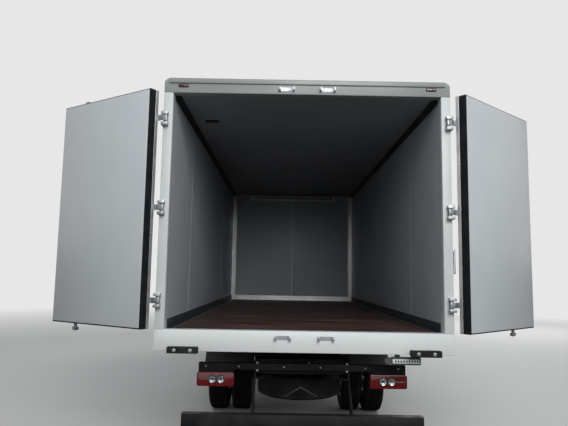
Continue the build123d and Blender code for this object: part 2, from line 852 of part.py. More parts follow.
# Kick plates along the floor and covings along the ceiling
trim_start = rear + max(portal_depth, leaf_back - pin_behind) + trim_start_gap
with BuildPart() as dark_trims:
    for side in (-1, 1):
        wall = side * wall_inner
        with BuildSketch(Plane.XZ.offset(-front_wall_inner)):
            with BuildLine():
                Polyline(
                    (wall, box_floor_top),
                    (wall, box_floor_top + kick_height),
                    (wall - side * trim_gauge, box_floor_top + kick_height),
                    (wall - side * trim_gauge, box_floor_top + trim_gauge),
                    (wall - side * kick_width, box_floor_top + trim_gauge),
                    (wall - side * kick_width, box_floor_top),
                    close=True,
                )
            make_face()
            with BuildLine():
                Line((wall, ceiling - coving_leg), (wall, ceiling))
                Line((wall, ceiling), (wall - side * coving_leg, ceiling))
                RadiusArc((wall - side * coving_leg, ceiling), (wall, ceiling - coving_leg),
                          side * coving_leg * 1.3)
            make_face()
        extrude(amount=front_wall_inner - trim_start)
save(dark_trims, "dark_trims")

# Fittings on the portal: hinge brackets with pins, lock keepers and a grab handle
with BuildPart() as portal_fittings:
    for side in (-1, 1):
        for height in hinge_heights:
            z = portal_bottom + height
            edge = side * half_width
            outer = side * (half_width + bracket_gauge)
            span_box(edge, outer, rear - pin_behind + 8, rear + bracket_wrap, z - bracket_height / 2,
                     z + bracket_height / 2)
            ear_in = knuckle_length / 2 + 2
            for up in (-1, 1):
                ear_z0 = z + up * ear_in
                ear_z1 = z + up * bracket_height / 2
                span_box(side * (pin_out - 14), outer, rear - pin_behind - 14, rear, ear_z0, ear_z1)
            span_box(edge, outer, rear - pin_behind, rear + bracket_wrap, z - ear_in, z + ear_in,
                     Mode.SUBTRACT)
            rod_z(side * pin_out, rear - pin_behind, z - bracket_height / 2, z + bracket_height / 2,
                  pin_radius)
        for height in keeper_heights:
            z = portal_bottom + height
            x = side * rod_from_centre
            with Locations((x, rear - keeper_gauge / 2, z)):
                Box(keeper_length, keeper_gauge, keeper_height)
            for claw in (-1, 1):
                cx = x + claw * (keeper_length / 2 - keeper_claw / 2)
                span_box(cx - keeper_claw / 2, cx + keeper_claw / 2, rear - keeper_reach, rear,
                         z - keeper_height / 2, z + keeper_height / 2)
    grab_x0 = half_width
    grab_x1 = half_width + grab_standoff
    grab_low = portal_bottom + grab_bottom
    grab_high = portal_bottom + grab_top
    span_box(grab_x1 - grab_bar, grab_x1, rear + 20, rear + 38, grab_low, grab_high)
    for z in (grab_low, grab_high - 25):
        span_box(grab_x0, grab_x1, rear + 20, rear + 38, z, z + 25)
save(portal_fittings, "portal_fittings")

# Dock buffers under the sill's corners
with BuildPart() as dock_buffers:
    for side in (-1, 1):
        span_box(side * buffer_inner, side * buffer_outer, rear - buffer_reach, rear,
                 portal_bottom + buffer_overlap - buffer_height, portal_bottom + buffer_overlap)
    fillet(dock_buffers.edges().filter_by(Axis.X), 8)
save(dock_buffers, "dock_buffers")

# Rear doors, each built in the plane of its open leaf: the local x runs from the hinge
# pin to the free edge, and the leaf's depth runs from the outer to the inner face
leaf_bottom = opening_bottom + door_edge_gap
leaf_top = opening_top - door_edge_gap
rod_depth = leaf_face - rod_standoff - rod_radius
rod_along = pin_out - rod_from_centre


def leaf_box(side, a0, a1, b0, b1, z0, z1, mode=Mode.ADD):
    """A box along a leaf, with its depth measured inwards from the hinge pin."""
    span_box(a0, a1, -side * b0, -side * b1, z0, z1, mode)


for name, side, opened in (("left", -1, open_left), ("right", 1, open_right)):
    heading = radians(-opened if side < 0 else 180 + opened)
    leaf = Plane(origin=(side * pin_out, rear - pin_behind, 0), x_dir=(cos(heading), sin(heading), 0),
                 z_dir=(0, 0, 1))
    panel_start = leaf_start + seal_thickness
    panel_end = leaf_end - seal_thickness
    seal_front = leaf_face + door_frame_depth
    with BuildPart(leaf) as door_panel:
        leaf_box(side, leaf_start, leaf_end, leaf_face, seal_front, leaf_bottom, leaf_top)
        leaf_box(side, panel_start, panel_end, seal_front, leaf_back, leaf_bottom + seal_thickness,
                 leaf_top - seal_thickness)
    save(door_panel, "rear_door_" + name)

    with BuildPart(leaf) as door_seal:
        seal_back = seal_front + seal_depth
        leaf_box(side, leaf_start, leaf_end, seal_front, seal_back, leaf_bottom, leaf_top)
        leaf_box(side, panel_start, panel_end, seal_front, seal_back, leaf_bottom + seal_thickness,
                 leaf_top - seal_thickness, Mode.SUBTRACT)
    save(door_seal, "rear_door_" + name + "_seal")

    with BuildPart(leaf) as door_gear:
        strap_back = leaf_face - strap_lift
        strap_front = strap_back - strap_gauge
        for height in hinge_heights:
            low = portal_bottom + height - strap_width / 2
            high = low + strap_width
            rod_z(0, 0, low - strap_lift, high + strap_lift, knuckle_radius)
            leaf_box(side, 0, leaf_start, strap_front, strap_back, low, high)
            leaf_box(side, leaf_start, strap_reach, strap_front, leaf_face, low, high)
            leaf_box(side, 0, knuckle_radius, 0, strap_back, low, high)
            rod_z(0, 0, low - 20, high + 20, pin_radius + pin_clearance, Mode.SUBTRACT)
        rod_low = portal_bottom + keeper_heights[0] - 18
        rod_high = portal_bottom + keeper_heights[1] + 18
        rod_z(rod_along, -side * rod_depth, rod_low, rod_high, rod_radius)
        for height in keeper_heights:
            z = portal_bottom + height
            leaf_box(side, rod_along - cam_width / 2, rod_along + cam_width / 2, rod_depth - 13,
                     rod_depth + 13, z - cam_height / 2, z + cam_height / 2)
        for height in clamp_heights:
            z = portal_bottom + height
            leaf_box(side, rod_along - 45, rod_along + 45, rod_depth - 5, leaf_face, z - 25, z + 25)
            leaf_box(side, rod_along - 20, rod_along + 20, rod_depth - 18, rod_depth, z - 25, z + 25)
        z = portal_bottom + handle_rise
        grip = rod_along - handle_length
        leaf_box(side, grip, rod_along, rod_depth - 16, rod_depth - 6, z - 14, z + 14)
        leaf_box(side, grip + 30, grip + 80, rod_depth - 6, leaf_face, z - 30, z + 30)
    save(door_gear, "rear_door_" + name + "_gear")

# Nose-mounted condenser above the cab and the flat evaporator outlet inside
condenser_low = portal_top - condenser_drop
with BuildPart() as condenser:
    with BuildSketch(Plane.YZ.offset(-condenser_width / 2)):
        with BuildLine():
            Polyline(
                (box_front, condenser_low),
                (box_front + condenser_depth - 60, condenser_low),
                (box_front + condenser_depth, condenser_low + 90),
                (box_front + condenser_depth - 90, condenser_low + condenser_height - 60),
                (box_front + condenser_depth - 170, condenser_low + condenser_height),
                (box_front, condenser_low + condenser_height),
                close=True,
            )
        make_face()
    extrude(amount=condenser_width)
    fillet(condenser.edges().filter_by(Axis.Y, reverse=True).filter_by(
        lambda e: abs(abs(e.center().X) - condenser_width / 2) < 1 and e.center().Y > box_front + 30), 35)
save(condenser, "condenser")

with BuildPart() as evaporator:
    span_box(-evaporator_width / 2, evaporator_width / 2, front_wall_inner - evaporator_depth,
             front_wall_inner, ceiling - 20 - evaporator_height, ceiling - 20)
    fillet(evaporator.edges().filter_by(Axis.Z).group_by(Axis.Y)[0], 15)
save(evaporator, "evaporator")

# Cab: a hollow shell drawn by its side outline
cab_half = cab_width / 2
roof_rear = cab_height - 30


def cab_outline(plane, base, inset):
    """Side outline of the cab at a distance inside the outer skin."""
    with BuildSketch(plane) as outline:
        with BuildLine():
            Polyline(
                (cab_rear + inset, base),
                (cab_rear + inset, roof_rear - inset),
                (cab_rear + 700, cab_height - inset),
                (cab_front - 560, cab_height - 50 - inset),
                (cab_front - 420 - inset * 0.6, cab_height - 130 - inset * 0.6),
                (cab_front - 40 - inset, screen_base),
                (cab_front - inset, screen_base - 120),
                (cab_front - inset, base),
                close=True,
            )
        make_face()
    return outline.sketch


door_rear = front_axle_y - 130
door_front = cab_front - 250
door_low = cab_skirt + 80
door_high = cab_height - 150
door_hinge_places = [cab_skirt + rise for rise in door_hinge_rises]
handle_low = belt - 190
handle_bar = 25.0
handle_lift = 22.0


def door_outline(plane, gap=0.0):
    """Side outline of a cab door, raised over the wheel arch, at a gap inside the doorway."""
    with BuildSketch(plane) as outline:
        with BuildLine():
            Polyline(
                (door_front, door_low),
                (door_front, screen_base - 20),
                (door_front - 330, door_high - 20),
                (door_rear, door_high),
                (door_rear, axle_z + arch_radius + 40),
                (front_axle_y + 170, axle_z + arch_radius + 40),
                (front_axle_y + 330, door_low),
                close=True,
            )
        make_face()
        if gap:
            offset(amount=-gap)
    return outline.sketch


def door_window(plane):
    """Side outline of the door's window."""
    with BuildSketch(plane) as outline:
        with BuildLine():
            Polyline(
                (door_front - 80, belt),
                (door_front - 365, door_high - 90),
                (door_rear + 75, door_high - 80),
                (door_rear + 75, belt),
                close=True,
            )
        make_face()
        fillet(outline.vertices(), 30)
    return outline.sketch


def screen_slab(inner, outer, low, high):
    """Side outline of a slab that follows the slope of the windscreen."""
    with BuildSketch(Plane.YZ.offset(-screen_half)) as outline:
        with BuildLine():
            Polyline(
                (screen_y(low) - inner, low),
                (screen_y(low) + outer, low),
                (screen_y(high) + outer, high),
                (screen_y(high) - inner, high),
                close=True,
            )
        make_face()
    return outline.sketch


def screen_y(z):
    """Where the windscreen's outer face stands at a height."""
    return cab_front - 40 - 380 * (z - screen_base) / (cab_height - 130 - screen_base)


def bar(start, end, radius):
    """A round bar between two points."""
    path = Edge.make_line(start, end)
    with BuildSketch(Plane(origin=start, z_dir=path % 0)) as section:
        Circle(radius)
    extrude(section.sketch, amount=path.length)


screen_half = cab_half - 105
screen_low = screen_base + 45
screen_high = cab_height - 175
back_window_half = 480.0
back_window_low = 1480.0
back_window_high = 1900.0
lug_out = 300.0
with BuildPart() as cab_shell:
    extrude(cab_outline(Plane.YZ.offset(-cab_half), cab_skirt, 0), amount=cab_width)
    side_edges = cab_shell.edges().filter_by(Axis.X, reverse=True)
    fillet(side_edges.filter_by(lambda e: abs(e.center().Z - cab_skirt) > 1), cab_corner_radius)
    extrude(cab_outline(Plane.YZ.offset(-cab_half + cab_wall), cab_floor + cab_wall, cab_wall),
            amount=cab_width - 2 * cab_wall, mode=Mode.SUBTRACT)
    span_box(-cab_half + cab_wall, cab_half - cab_wall, cab_rear - 5, cab_front - cab_wall,
             cab_skirt - 10, cab_floor, Mode.SUBTRACT)
    rod_x(-cab_half - 10, cab_half + 10, front_axle_y, axle_z, arch_radius, Mode.SUBTRACT)
    for wall in (-cab_half - 10, cab_half - cab_wall - 2):
        extrude(door_outline(Plane.YZ.offset(wall)), amount=cab_wall + 12, mode=Mode.SUBTRACT)
    extrude(screen_slab(90, 90, screen_low, screen_high), amount=2 * screen_half, mode=Mode.SUBTRACT)
    span_box(-back_window_half, back_window_half, cab_rear - 5, cab_rear + cab_wall + 5,
             back_window_low, back_window_high, Mode.SUBTRACT)
    for side in (-1, 1):
        with BuildSketch(Plane.YZ.offset(side * lug_out - 10)):
            with BuildLine():
                Polyline(
                    (pivot_y - 36, pivot_height),
                    (pivot_y - 90, cab_floor + 10),
                    (pivot_y + 60, cab_floor + 10),
                    (pivot_y + 36, pivot_height),
                    close=True,
                )
            make_face()
            with Locations((pivot_y, pivot_height)):
                Circle(36)
        extrude(amount=20)
    rod_x(-lug_out - 30, lug_out + 30, pivot_y, pivot_height, pivot_radius + running_clearance,
          Mode.SUBTRACT)
    for side in (-1, 1):
        for z in door_hinge_places:
            pin_x = side * (cab_half + door_pin_out)
            for end in (-1, 1):
                lug_low = z + end * (door_knuckle_length / 2 + 3)
                lug_high = lug_low + end * 14
                rod_z(pin_x, door_front, min(lug_low, lug_high), max(lug_low, lug_high), door_knuckle_radius)
                span_box(side * cab_half, pin_x, door_front, door_front + 60, lug_low, lug_high)
            rod_z(pin_x, door_front, z - door_knuckle_length / 2 - 10, z + door_knuckle_length / 2 + 10,
                  door_pin_radius)
save(cab_shell, "cab_shell")

# Windscreen and rear window
with BuildPart() as cab_glass:
    extrude(screen_slab(20, -12, screen_low, screen_high), amount=2 * screen_half)
    span_box(-back_window_half, back_window_half, cab_rear + 20, cab_rear + 26, back_window_low,
             back_window_high)
save(cab_glass, "cab_glass")

# Cab doors with their handles and window panes
for name, side in with_sides:
    skin = -cab_half if side < 0 else cab_half - cab_wall
    with BuildPart() as cab_door:
        extrude(door_outline(Plane.YZ.offset(skin), cab_door_gap), amount=cab_wall)
        extrude(door_window(Plane.YZ.offset(skin - 5)), amount=cab_wall + 10, mode=Mode.SUBTRACT)
        span_box(side * cab_half, side * (cab_half + handle_lift), door_rear + 60, door_rear + 210,
                 handle_low, handle_low + handle_bar)
        pin_x = side * (cab_half + door_pin_out)
        for z in door_hinge_places:
            low = z - door_knuckle_length / 2
            high = z + door_knuckle_length / 2
            rod_z(pin_x, door_front, low, high, door_knuckle_radius)
            span_box(side * cab_half, side * (cab_half + door_strap_gauge), door_front - door_strap_reach,
                     door_front - cab_door_gap, low, high)
            span_box(side * (cab_half + 1), pin_x, door_front - cab_door_gap - 6, door_front, low, high)
            rod_z(pin_x, door_front, low - 5, high + 5, door_pin_radius + running_clearance, Mode.SUBTRACT)
    save(cab_door, "cab_door_" + name)
    with BuildPart() as door_glass:
        extrude(door_window(Plane.YZ.offset(side * (cab_half - 20) - 3)), amount=6)
    save(door_glass, "cab_door_" + name + "_glass")

# Front grille, headlamps and bumper
grille_half = 540.0
grille_low = 900.0
grille_high = 1150.0
grille_depth = 22.0
slat_count = 5
with BuildPart() as grille_mask:
    span_box(-grille_half, grille_half, cab_front, cab_front + grille_depth, grille_low, grille_high)
    fillet(grille_mask.edges().filter_by(Axis.Y), 40)
    span_box(-grille_half + 30, grille_half - 30, cab_front + 6, cab_front + grille_depth + 1,
             grille_low + 30, grille_high - 30, Mode.SUBTRACT)
    slat_pitch = (grille_high - grille_low - 60) / slat_count
    for i in range(1, slat_count):
        z = grille_low + 30 + i * slat_pitch
        span_box(-grille_half + 20, grille_half - 20, cab_front, cab_front + grille_depth - 4, z - 8, z + 8)
save(grille_mask, "grille_mask")

with BuildPart() as headlamps:
    for side in (-1, 1):
        span_box(side * 610, side * 945, cab_front, cab_front + 30, 770, 940)
    fillet(headlamps.edges().filter_by(Axis.Y), 35)
save(headlamps, "headlamps")

# The bumper wraps round to the two-tread steps below the doors
with BuildPart() as front_bumper:
    bumper_front = cab_front + bumper_lead
    with BuildSketch(Plane.XY.offset(bumper_bottom)):
        with Locations((0, bumper_front - (bumper_arm + bumper_lead) / 2)):
            Rectangle(cab_width, bumper_arm + bumper_lead)
    extrude(amount=cab_skirt - bumper_bottom)
    fillet(front_bumper.edges().filter_by(Axis.Z).group_by(Axis.Y)[-1], bumper_corner_radius)
    span_box(-cab_half + bumper_wall, cab_half - bumper_wall, cab_front - bumper_arm - 10,
             bumper_front - bumper_wall, bumper_bottom - 5, cab_skirt + 5, Mode.SUBTRACT)
    for side in (-1, 1):
        step_front = cab_front - bumper_arm + 1
        step_rear = step_front - step_length
        span_box(side * (cab_half - step_depth), side * cab_half, step_rear, step_front,
                 bumper_bottom, cab_skirt)
        for rise in step_rises:
            low = bumper_bottom + rise
            span_box(side * (cab_half - step_depth + step_wall), side * (cab_half + 5),
                     step_rear + step_wall, step_front - step_wall, low, low + step_height, Mode.SUBTRACT)
    fillet(front_bumper.edges().filter_by(Axis.X).group_by(Axis.Y)[-1], 20)
save(front_bumper, "front_bumper")

# Mirrors on arms from the front pillars
with BuildPart() as mirrors:
    mirror_y = cab_front - 160
    tube_y = mirror_y - 40
    tube_low = mirror_bottom - 25
    tube_high = mirror_bottom + mirror_height + 50
    mirror_feet = (
        (tube_y, tube_low + mirror_tube_radius, tube_low + mirror_tube_radius),
        (cab_front - 430, tube_high + 20, tube_high - mirror_tube_radius),
    )
    for side in (-1, 1):
        span_box(side * (cab_half + mirror_out), side * (cab_half + mirror_out + mirror_width),
                 mirror_y - mirror_depth / 2, mirror_y + mirror_depth / 2, mirror_bottom,
                 mirror_bottom + mirror_height)
    fillet(mirrors.edges(), 25)
    for side in (-1, 1):
        tube_x = side * (cab_half + mirror_out + mirror_width / 2)
        rod_z(tube_x, tube_y, tube_low, tube_high, mirror_tube_radius)
        for foot_y, foot_z, tube_z in mirror_feet:
            span_box(side * cab_half, side * (cab_half + 14), foot_y - mirror_foot, foot_y + mirror_foot,
                     foot_z - mirror_foot, foot_z + mirror_foot)
            bar((side * (cab_half + 10), foot_y, foot_z), (tube_x, tube_y, tube_z), mirror_tube_radius - 2)
save(mirrors, "mirrors")

# A driver's seat and a double passenger seat, each cushion and back as one form
seat_base = cab_floor + cab_wall
seat_rear = cab_rear + 200
seat_edge = cab_half - seat_out
aisle_left = -seat_edge + driver_seat_width
with BuildPart() as seats:
    for x0, x1 in ((-seat_edge, aisle_left), (aisle_left + seat_aisle, seat_edge)):
        with BuildSketch(Plane.YZ.offset(x0)):
            with BuildLine():
                Polyline(
                    (seat_rear + 130, seat_base),
                    (seat_rear + 130, seat_base + 130),
                    (seat_rear, seat_base + 830),
                    (seat_rear + 100, seat_base + 840),
                    (seat_rear + 220, seat_base + 270),
                    (seat_rear + 630, seat_base + 285),
                    (seat_rear + 650, seat_base + 150),
                    (seat_rear + 580, seat_base + 130),
                    (seat_rear + 580, seat_base),
                    close=True,
                )
            make_face()
        extrude(amount=x1 - x0)
save(seats, "seats")

# Dashboard with the steering column and wheel
wheel_x = -seat_edge + driver_seat_width / 2
wheel_lean = radians(35)
with BuildPart() as dashboard:
    with BuildSketch(Plane.YZ.offset(-cab_half + cab_wall + 8)):
        with BuildLine():
            Polyline(
                (cab_front - cab_wall, 1150),
                (cab_front - cab_wall, 1200),
                (cab_front - 105, 1335),
                (cab_front - 330, 1360),
                (cab_front - 420, 1300),
                (cab_front - 380, 1150),
                (cab_front - 250, 1120),
                close=True,
            )
        make_face()
    extrude(amount=cab_width - 2 * cab_wall - 16)
    wheel_plane = Plane(origin=(wheel_x, cab_front - 600, 1480), x_dir=(1, 0, 0),
                        z_dir=(0, -sin(wheel_lean), cos(wheel_lean)))
    with BuildSketch(wheel_plane):
        Circle(30)
    extrude(amount=-552)
    for turn in (90, 210, 330):
        reach = 205
        tip = wheel_plane.from_local_coords((reach * cos(radians(turn)), reach * sin(radians(turn)), 0))
        bar(wheel_plane.origin, tip, 12)
    with Locations(wheel_plane.location):
        Torus(steering_radius, steering_grip_radius)
save(dashboard, "dashboard")
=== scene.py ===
import json
import math
import bpy
from mathutils import Matrix, Vector


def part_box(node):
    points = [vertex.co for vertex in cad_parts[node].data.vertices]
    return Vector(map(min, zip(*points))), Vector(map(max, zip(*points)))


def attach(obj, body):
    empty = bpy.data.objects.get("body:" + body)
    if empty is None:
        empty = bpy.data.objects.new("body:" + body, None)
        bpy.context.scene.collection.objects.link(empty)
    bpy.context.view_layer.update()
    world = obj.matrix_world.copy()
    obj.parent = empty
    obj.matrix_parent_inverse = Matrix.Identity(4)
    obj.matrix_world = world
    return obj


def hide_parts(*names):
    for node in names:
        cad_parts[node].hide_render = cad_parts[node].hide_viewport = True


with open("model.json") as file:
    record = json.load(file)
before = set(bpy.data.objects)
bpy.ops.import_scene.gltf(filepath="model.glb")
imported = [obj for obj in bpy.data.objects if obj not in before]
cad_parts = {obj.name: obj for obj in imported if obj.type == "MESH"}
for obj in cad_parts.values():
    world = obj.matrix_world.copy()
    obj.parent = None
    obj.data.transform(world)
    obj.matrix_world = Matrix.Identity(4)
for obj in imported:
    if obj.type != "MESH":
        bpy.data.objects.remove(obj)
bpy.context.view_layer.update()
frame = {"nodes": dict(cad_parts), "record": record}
nodes = frame["nodes"]
record = frame["record"]
bodyOf = {node: body for body, members in record["behaviour"]["bodies"].items() for node in members}
slotOf = {row["node"]: row["material_slot"] for row in record["subparts"]}
print("frame loaded,", len(nodes), "nodes")


# finishes: colour, the colour it drifts to, noise size (1/m), roughness low and high, bump, bump size (1/m),
# then metal, coat and specular level where they aren't 0, 0 and 0.5
finishes = {
    "panelSkin": ((0.72, 0.76, 0.785), (0.66, 0.70, 0.73), 1.7, (0.34, 0.46), 0.05, 90, 0, 0.15),
    # painted shade: the white inner wall lining is drawn mid grey, for the shade inside the box
    "wallLiningPaintedShade": ((0.50, 0.53, 0.555), (0.44, 0.47, 0.495), 1.3, (0.36, 0.5), 0.06, 120),
    # painted shade: the ceiling lining is drawn darker still, for the shade under the roof
    "ceilingLiningPaintedShade": ((0.27, 0.295, 0.315), (0.23, 0.25, 0.27), 1.3, (0.4, 0.55), 0.06, 120),
    "portalPaint": ((0.80, 0.84, 0.83), (0.73, 0.77, 0.765), 2.4, (0.36, 0.48), 0.03, 160, 0, 0.05),
    # painted light: the sill is drawn paler than the posts, for the extra light that falls on it
    "sillPaintedLight": ((0.89, 0.93, 0.92), (0.84, 0.88, 0.87), 2.4, (0.36, 0.48), 0.03, 160, 0, 0.05),
    # painted shade: the header is drawn a darker grey than the posts, for the shade that falls on it
    "headerPaintedShade": ((0.38, 0.41, 0.405), (0.33, 0.355, 0.35), 2.4, (0.32, 0.45), 0.03, 160, 0, 0.15),
    "darkTrim": ((0.028, 0.032, 0.036), (0.05, 0.055, 0.06), 7, (0.5, 0.7), 0.12, 220, 0, 0, 0.15),
    "sealRubber": ((0.010, 0.011, 0.012), (0.022, 0.023, 0.025), 9, (0.6, 0.8), 0.15, 150, 0, 0, 0.1),
    "galvanised": ((0.47, 0.49, 0.50), (0.31, 0.33, 0.35), 22, (0.34, 0.55), 0.06, 260, 0.85),
    "bufferRubber": ((0.014, 0.015, 0.016), (0.035, 0.035, 0.034), 16, (0.6, 0.85), 0.25, 180, 0, 0, 0.15),
    "chassisPaint": ((0.010, 0.011, 0.013), (0.034, 0.032, 0.029), 4.5, (0.4, 0.7), 0.1, 70, 0, 0, 0.15),
    "castIron": ((0.05, 0.05, 0.052), (0.13, 0.12, 0.11), 9, (0.5, 0.8), 0.35, 120, 0.5, 0, 0.3),
    "strapSteel": ((0.16, 0.165, 0.17), (0.09, 0.09, 0.09), 30, (0.4, 0.6), 0.1, 200, 0.7),
    "ledRed": ((0.10, 0.008, 0.010), (0.05, 0.004, 0.005), 80, (0.15, 0.3), 0.05, 400, 0, 0.3),
    "cabPaint": ((0.78, 0.80, 0.81), (0.74, 0.76, 0.77), 1.1, (0.18, 0.26), 0.012, 240, 0, 0.6),
    "bumperPlastic": ((0.07, 0.073, 0.077), (0.11, 0.112, 0.115), 3, (0.45, 0.62), 0.2, 420),
    "lampRed": ((0.20, 0.004, 0.006), (0.13, 0.002, 0.004), 30, (0.1, 0.2), 0.03, 90, 0, 0.8),
    "lampAmber": ((0.75, 0.24, 0.015), (0.62, 0.17, 0.01), 26, (0.1, 0.2), 0.03, 90, 0, 0.8),
    "reflector": ((0.75, 0.76, 0.77), (0.62, 0.63, 0.65), 60, (0.06, 0.16), 0.04, 300, 1.0),
    "tyreRubber": ((0.012, 0.012, 0.013), (0.04, 0.038, 0.034), 5, (0.7, 0.92), 0.18, 160, 0, 0, 0.12),
    "rimPaint": ((0.50, 0.515, 0.53), (0.36, 0.35, 0.33), 6, (0.32, 0.52), 0.06, 150, 0.45),
    "tankAlloy": ((0.58, 0.59, 0.60), (0.44, 0.45, 0.46), 5, (0.25, 0.45), 0.05, 110, 0.85),
    "dashPlastic": ((0.05, 0.052, 0.056), (0.075, 0.077, 0.08), 6, (0.55, 0.72), 0.25, 600),
    "unitPaint": ((0.76, 0.775, 0.78), (0.69, 0.70, 0.71), 2, (0.28, 0.4), 0.04, 200, 0, 0.2),
    "mirrorPlastic": ((0.028, 0.029, 0.03), (0.05, 0.05, 0.052), 8, (0.45, 0.6), 0.2, 500),
}
mottle = dict(detail=6, rough=0.62, toneFrom=0.35, toneTo=0.72, glossScale=3.1, coatRough=0.12)
materials = {}


# inputs of a shader node: a value goes on the socket, an output is linked to it
def setInputs(tree, node, inputs):
    for socket, value in inputs.items():
        if isinstance(value, bpy.types.NodeSocket):
            tree.links.new(value, node.inputs[socket])
        else:
            node.inputs[socket].default_value = value


def addNode(tree, kind, inputs, **settings):
    node = tree.nodes.new("ShaderNode" + kind)
    for key, value in settings.items():
        setattr(node, key, value)
    setInputs(tree, node, inputs)
    return node


def addNoise(tree, place, scale, detail=5, rough=0.6):
    noise = addNode(tree, "TexNoise", {"Vector": place, "Scale": scale, "Detail": detail, "Roughness": rough})
    return noise.outputs["Fac"]


def addRamp(tree, source, stops):
    ramp = addNode(tree, "ValToRGB", {"Fac": source})
    first, last = ramp.color_ramp.elements
    first.position, first.color = stops[0][0], (*stops[0][1], 1)
    last.position, last.color = stops[-1][0], (*stops[-1][1], 1)
    for position, colour in stops[1:-1]:
        ramp.color_ramp.elements.new(position).color = (*colour, 1)
    return ramp.outputs["Color"]


def addRange(tree, source, fromLow, fromHigh, toLow, toHigh):
    spread = addNode(tree, "MapRange", {"Value": source, "From Min": fromLow, "From Max": fromHigh,
                                        "To Min": toLow, "To Max": toHigh})
    return spread.outputs["Result"]


def addBump(tree, height, shader, strength, distance=0.002):
    bump = addNode(tree, "Bump", {"Height": height, "Strength": strength, "Distance": distance})
    setInputs(tree, shader, {"Normal": bump.outputs["Normal"]})


def addMath(tree, operation, first, second):
    return addNode(tree, "Math", {0: first, 1: second}, operation=operation).outputs["Value"]


def newMaterial(name):
    mat = bpy.data.materials.new(name)
    mat.use_nodes = True
    materials[name] = mat
    tree = mat.node_tree
    place = addNode(tree, "TexCoord", {}).outputs["Object"]
    return tree, tree.nodes["Principled BSDF"], place


def makeFinish(name, colour, drift, size, rough, bump, bumpSize, metal=0, coat=0, specular=0.5):
    tree, shader, place = newMaterial(name)
    broad = addNoise(tree, place, size, mottle["detail"], mottle["rough"])
    tone = addRamp(tree, broad, ((mottle["toneFrom"], colour), (mottle["toneTo"], drift)))
    gloss = addRange(tree, addNoise(tree, place, size * mottle["glossScale"], 4), 0.3, 0.7, *rough)
    setInputs(tree, shader, {"Metallic": metal, "Specular IOR Level": specular, "Coat Weight": coat,
                             "Coat Roughness": mottle["coatRough"], "Base Color": tone, "Roughness": gloss})
    addBump(tree, addNoise(tree, place, bumpSize, 3), shader, bump)


# dark phenolic ply: streaks run across the truck, with scuffs and pale dust, over a fine mesh print
plyLook = dict(dark=(0.016, 0.010, 0.009), warm=(0.085, 0.045, 0.038), dust=(0.26, 0.21, 0.19),
               stretch=(1.1, 15.0, 15.0), streakSize=1.4, meshSize=160, meshBump=0.25, rough=(0.42, 0.8))


def makePly():
    tree, shader, place = newMaterial("floorPly")
    squeeze = addNode(tree, "Mapping", {"Vector": place, "Scale": plyLook["stretch"]})
    streak = addNoise(tree, squeeze.outputs["Vector"], plyLook["streakSize"], 7, 0.7)
    stops = ((0.38, plyLook["dark"]), (0.55, plyLook["warm"]), (0.74, plyLook["dust"]))
    setInputs(tree, shader, {"Base Color": addRamp(tree, streak, stops),
                             "Roughness": addRange(tree, streak, 0.3, 0.8, *plyLook["rough"])})
    meshPrint = addNode(tree, "TexVoronoi", {"Vector": place, "Scale": plyLook["meshSize"]})
    addBump(tree, meshPrint.outputs["Distance"], shader, plyLook["meshBump"], 0.001)


# panes are thin and tinted, so they let light through unbent; lamp lenses are clear and bend it
panes = {
    "windowGlass": ((0.010, 0.016, 0.015), 0.01, {"Alpha": 0.42, "Specular IOR Level": 1.0}),
    "coverGlass": ((0.05, 0.06, 0.06), 0.01, {"Alpha": 0.25, "Specular IOR Level": 1.0}),
    "lampClear": ((0.90, 0.92, 0.93), 0.04, {"Transmission Weight": 0.92, "IOR": 1.25}),
}


def makeGlass(name, tint, rough, settings):
    tree, shader, place = newMaterial(name)
    haze = addNoise(tree, place, 4, 5)
    dull = tuple(channel * 0.93 for channel in tint)
    setInputs(tree, shader, {**settings, "Base Color": addRamp(tree, haze, ((0.3, tint), (0.8, dull))),
                             "Roughness": addRange(tree, haze, 0.4, 0.8, rough, rough + 0.08)})


clothLook = dict(thread=(0.035, 0.04, 0.05), gap=(0.11, 0.12, 0.135), weave=95, blotch=14, sheen=0.35,
                 rough=0.9, threadBump=0.5)


def makeCloth():
    tree, shader, place = newMaterial("seatCloth")
    waves = [addNode(tree, "TexWave", {"Vector": place, "Scale": clothLook["weave"], "Distortion": 0.6},
                     bands_direction=direction).outputs["Fac"] for direction in ("X", "Y", "Z")]
    threads = addMath(tree, "ADD", addMath(tree, "MULTIPLY", waves[0], waves[1]), waves[2])
    stops = ((0.3, clothLook["thread"]), (0.75, clothLook["gap"]))
    tone = addRamp(tree, addNoise(tree, place, clothLook["blotch"], 6), stops)
    setInputs(tree, shader, {"Sheen Weight": clothLook["sheen"], "Roughness": clothLook["rough"],
                             "Base Color": tone})
    addBump(tree, threads, shader, clothLook["threadBump"], 0.0008)


for finishName, finishLook in finishes.items():
    makeFinish(finishName, *finishLook)
makePly()
makeCloth()
for paneName, paneLook in panes.items():
    makeGlass(paneName, *paneLook)

slotFinish = {
    "panel_white": "panelSkin", "portal_paint": "portalPaint", "floor_ply": "floorPly",
    "dark_trim": "darkTrim", "door_seal": "sealRubber", "galvanised": "galvanised",
    "buffer_rubber": "bufferRubber", "chassis_black": "chassisPaint", "cast_grey": "castIron",
    "cab_white": "cabPaint", "bumper_grey": "bumperPlastic", "window_glass": "windowGlass",
    "lamp_red": "lampRed", "lamp_clear": "lampClear", "tyre": "tyreRubber", "rim_paint": "rimPaint",
    "tank_alloy": "tankAlloy", "seat_fabric": "seatCloth", "dash_plastic": "dashPlastic",
    "unit_white": "unitPaint", "mirror_black": "mirrorPlastic",
}
for nodeName, nodeObject in nodes.items():
    nodeObject.data.materials.clear()
    nodeObject.data.materials.append(materials[slotFinish[slotOf[nodeName]]])
print("finishes on", len(nodes), "nodes")


# everyday modelling moves
rearwards, upwards, leftToRight = (0, -1, 0), (0, 0, 1), (1, 0, 0)


def toMode(mode):
    bpy.ops.object.mode_set(mode=mode)


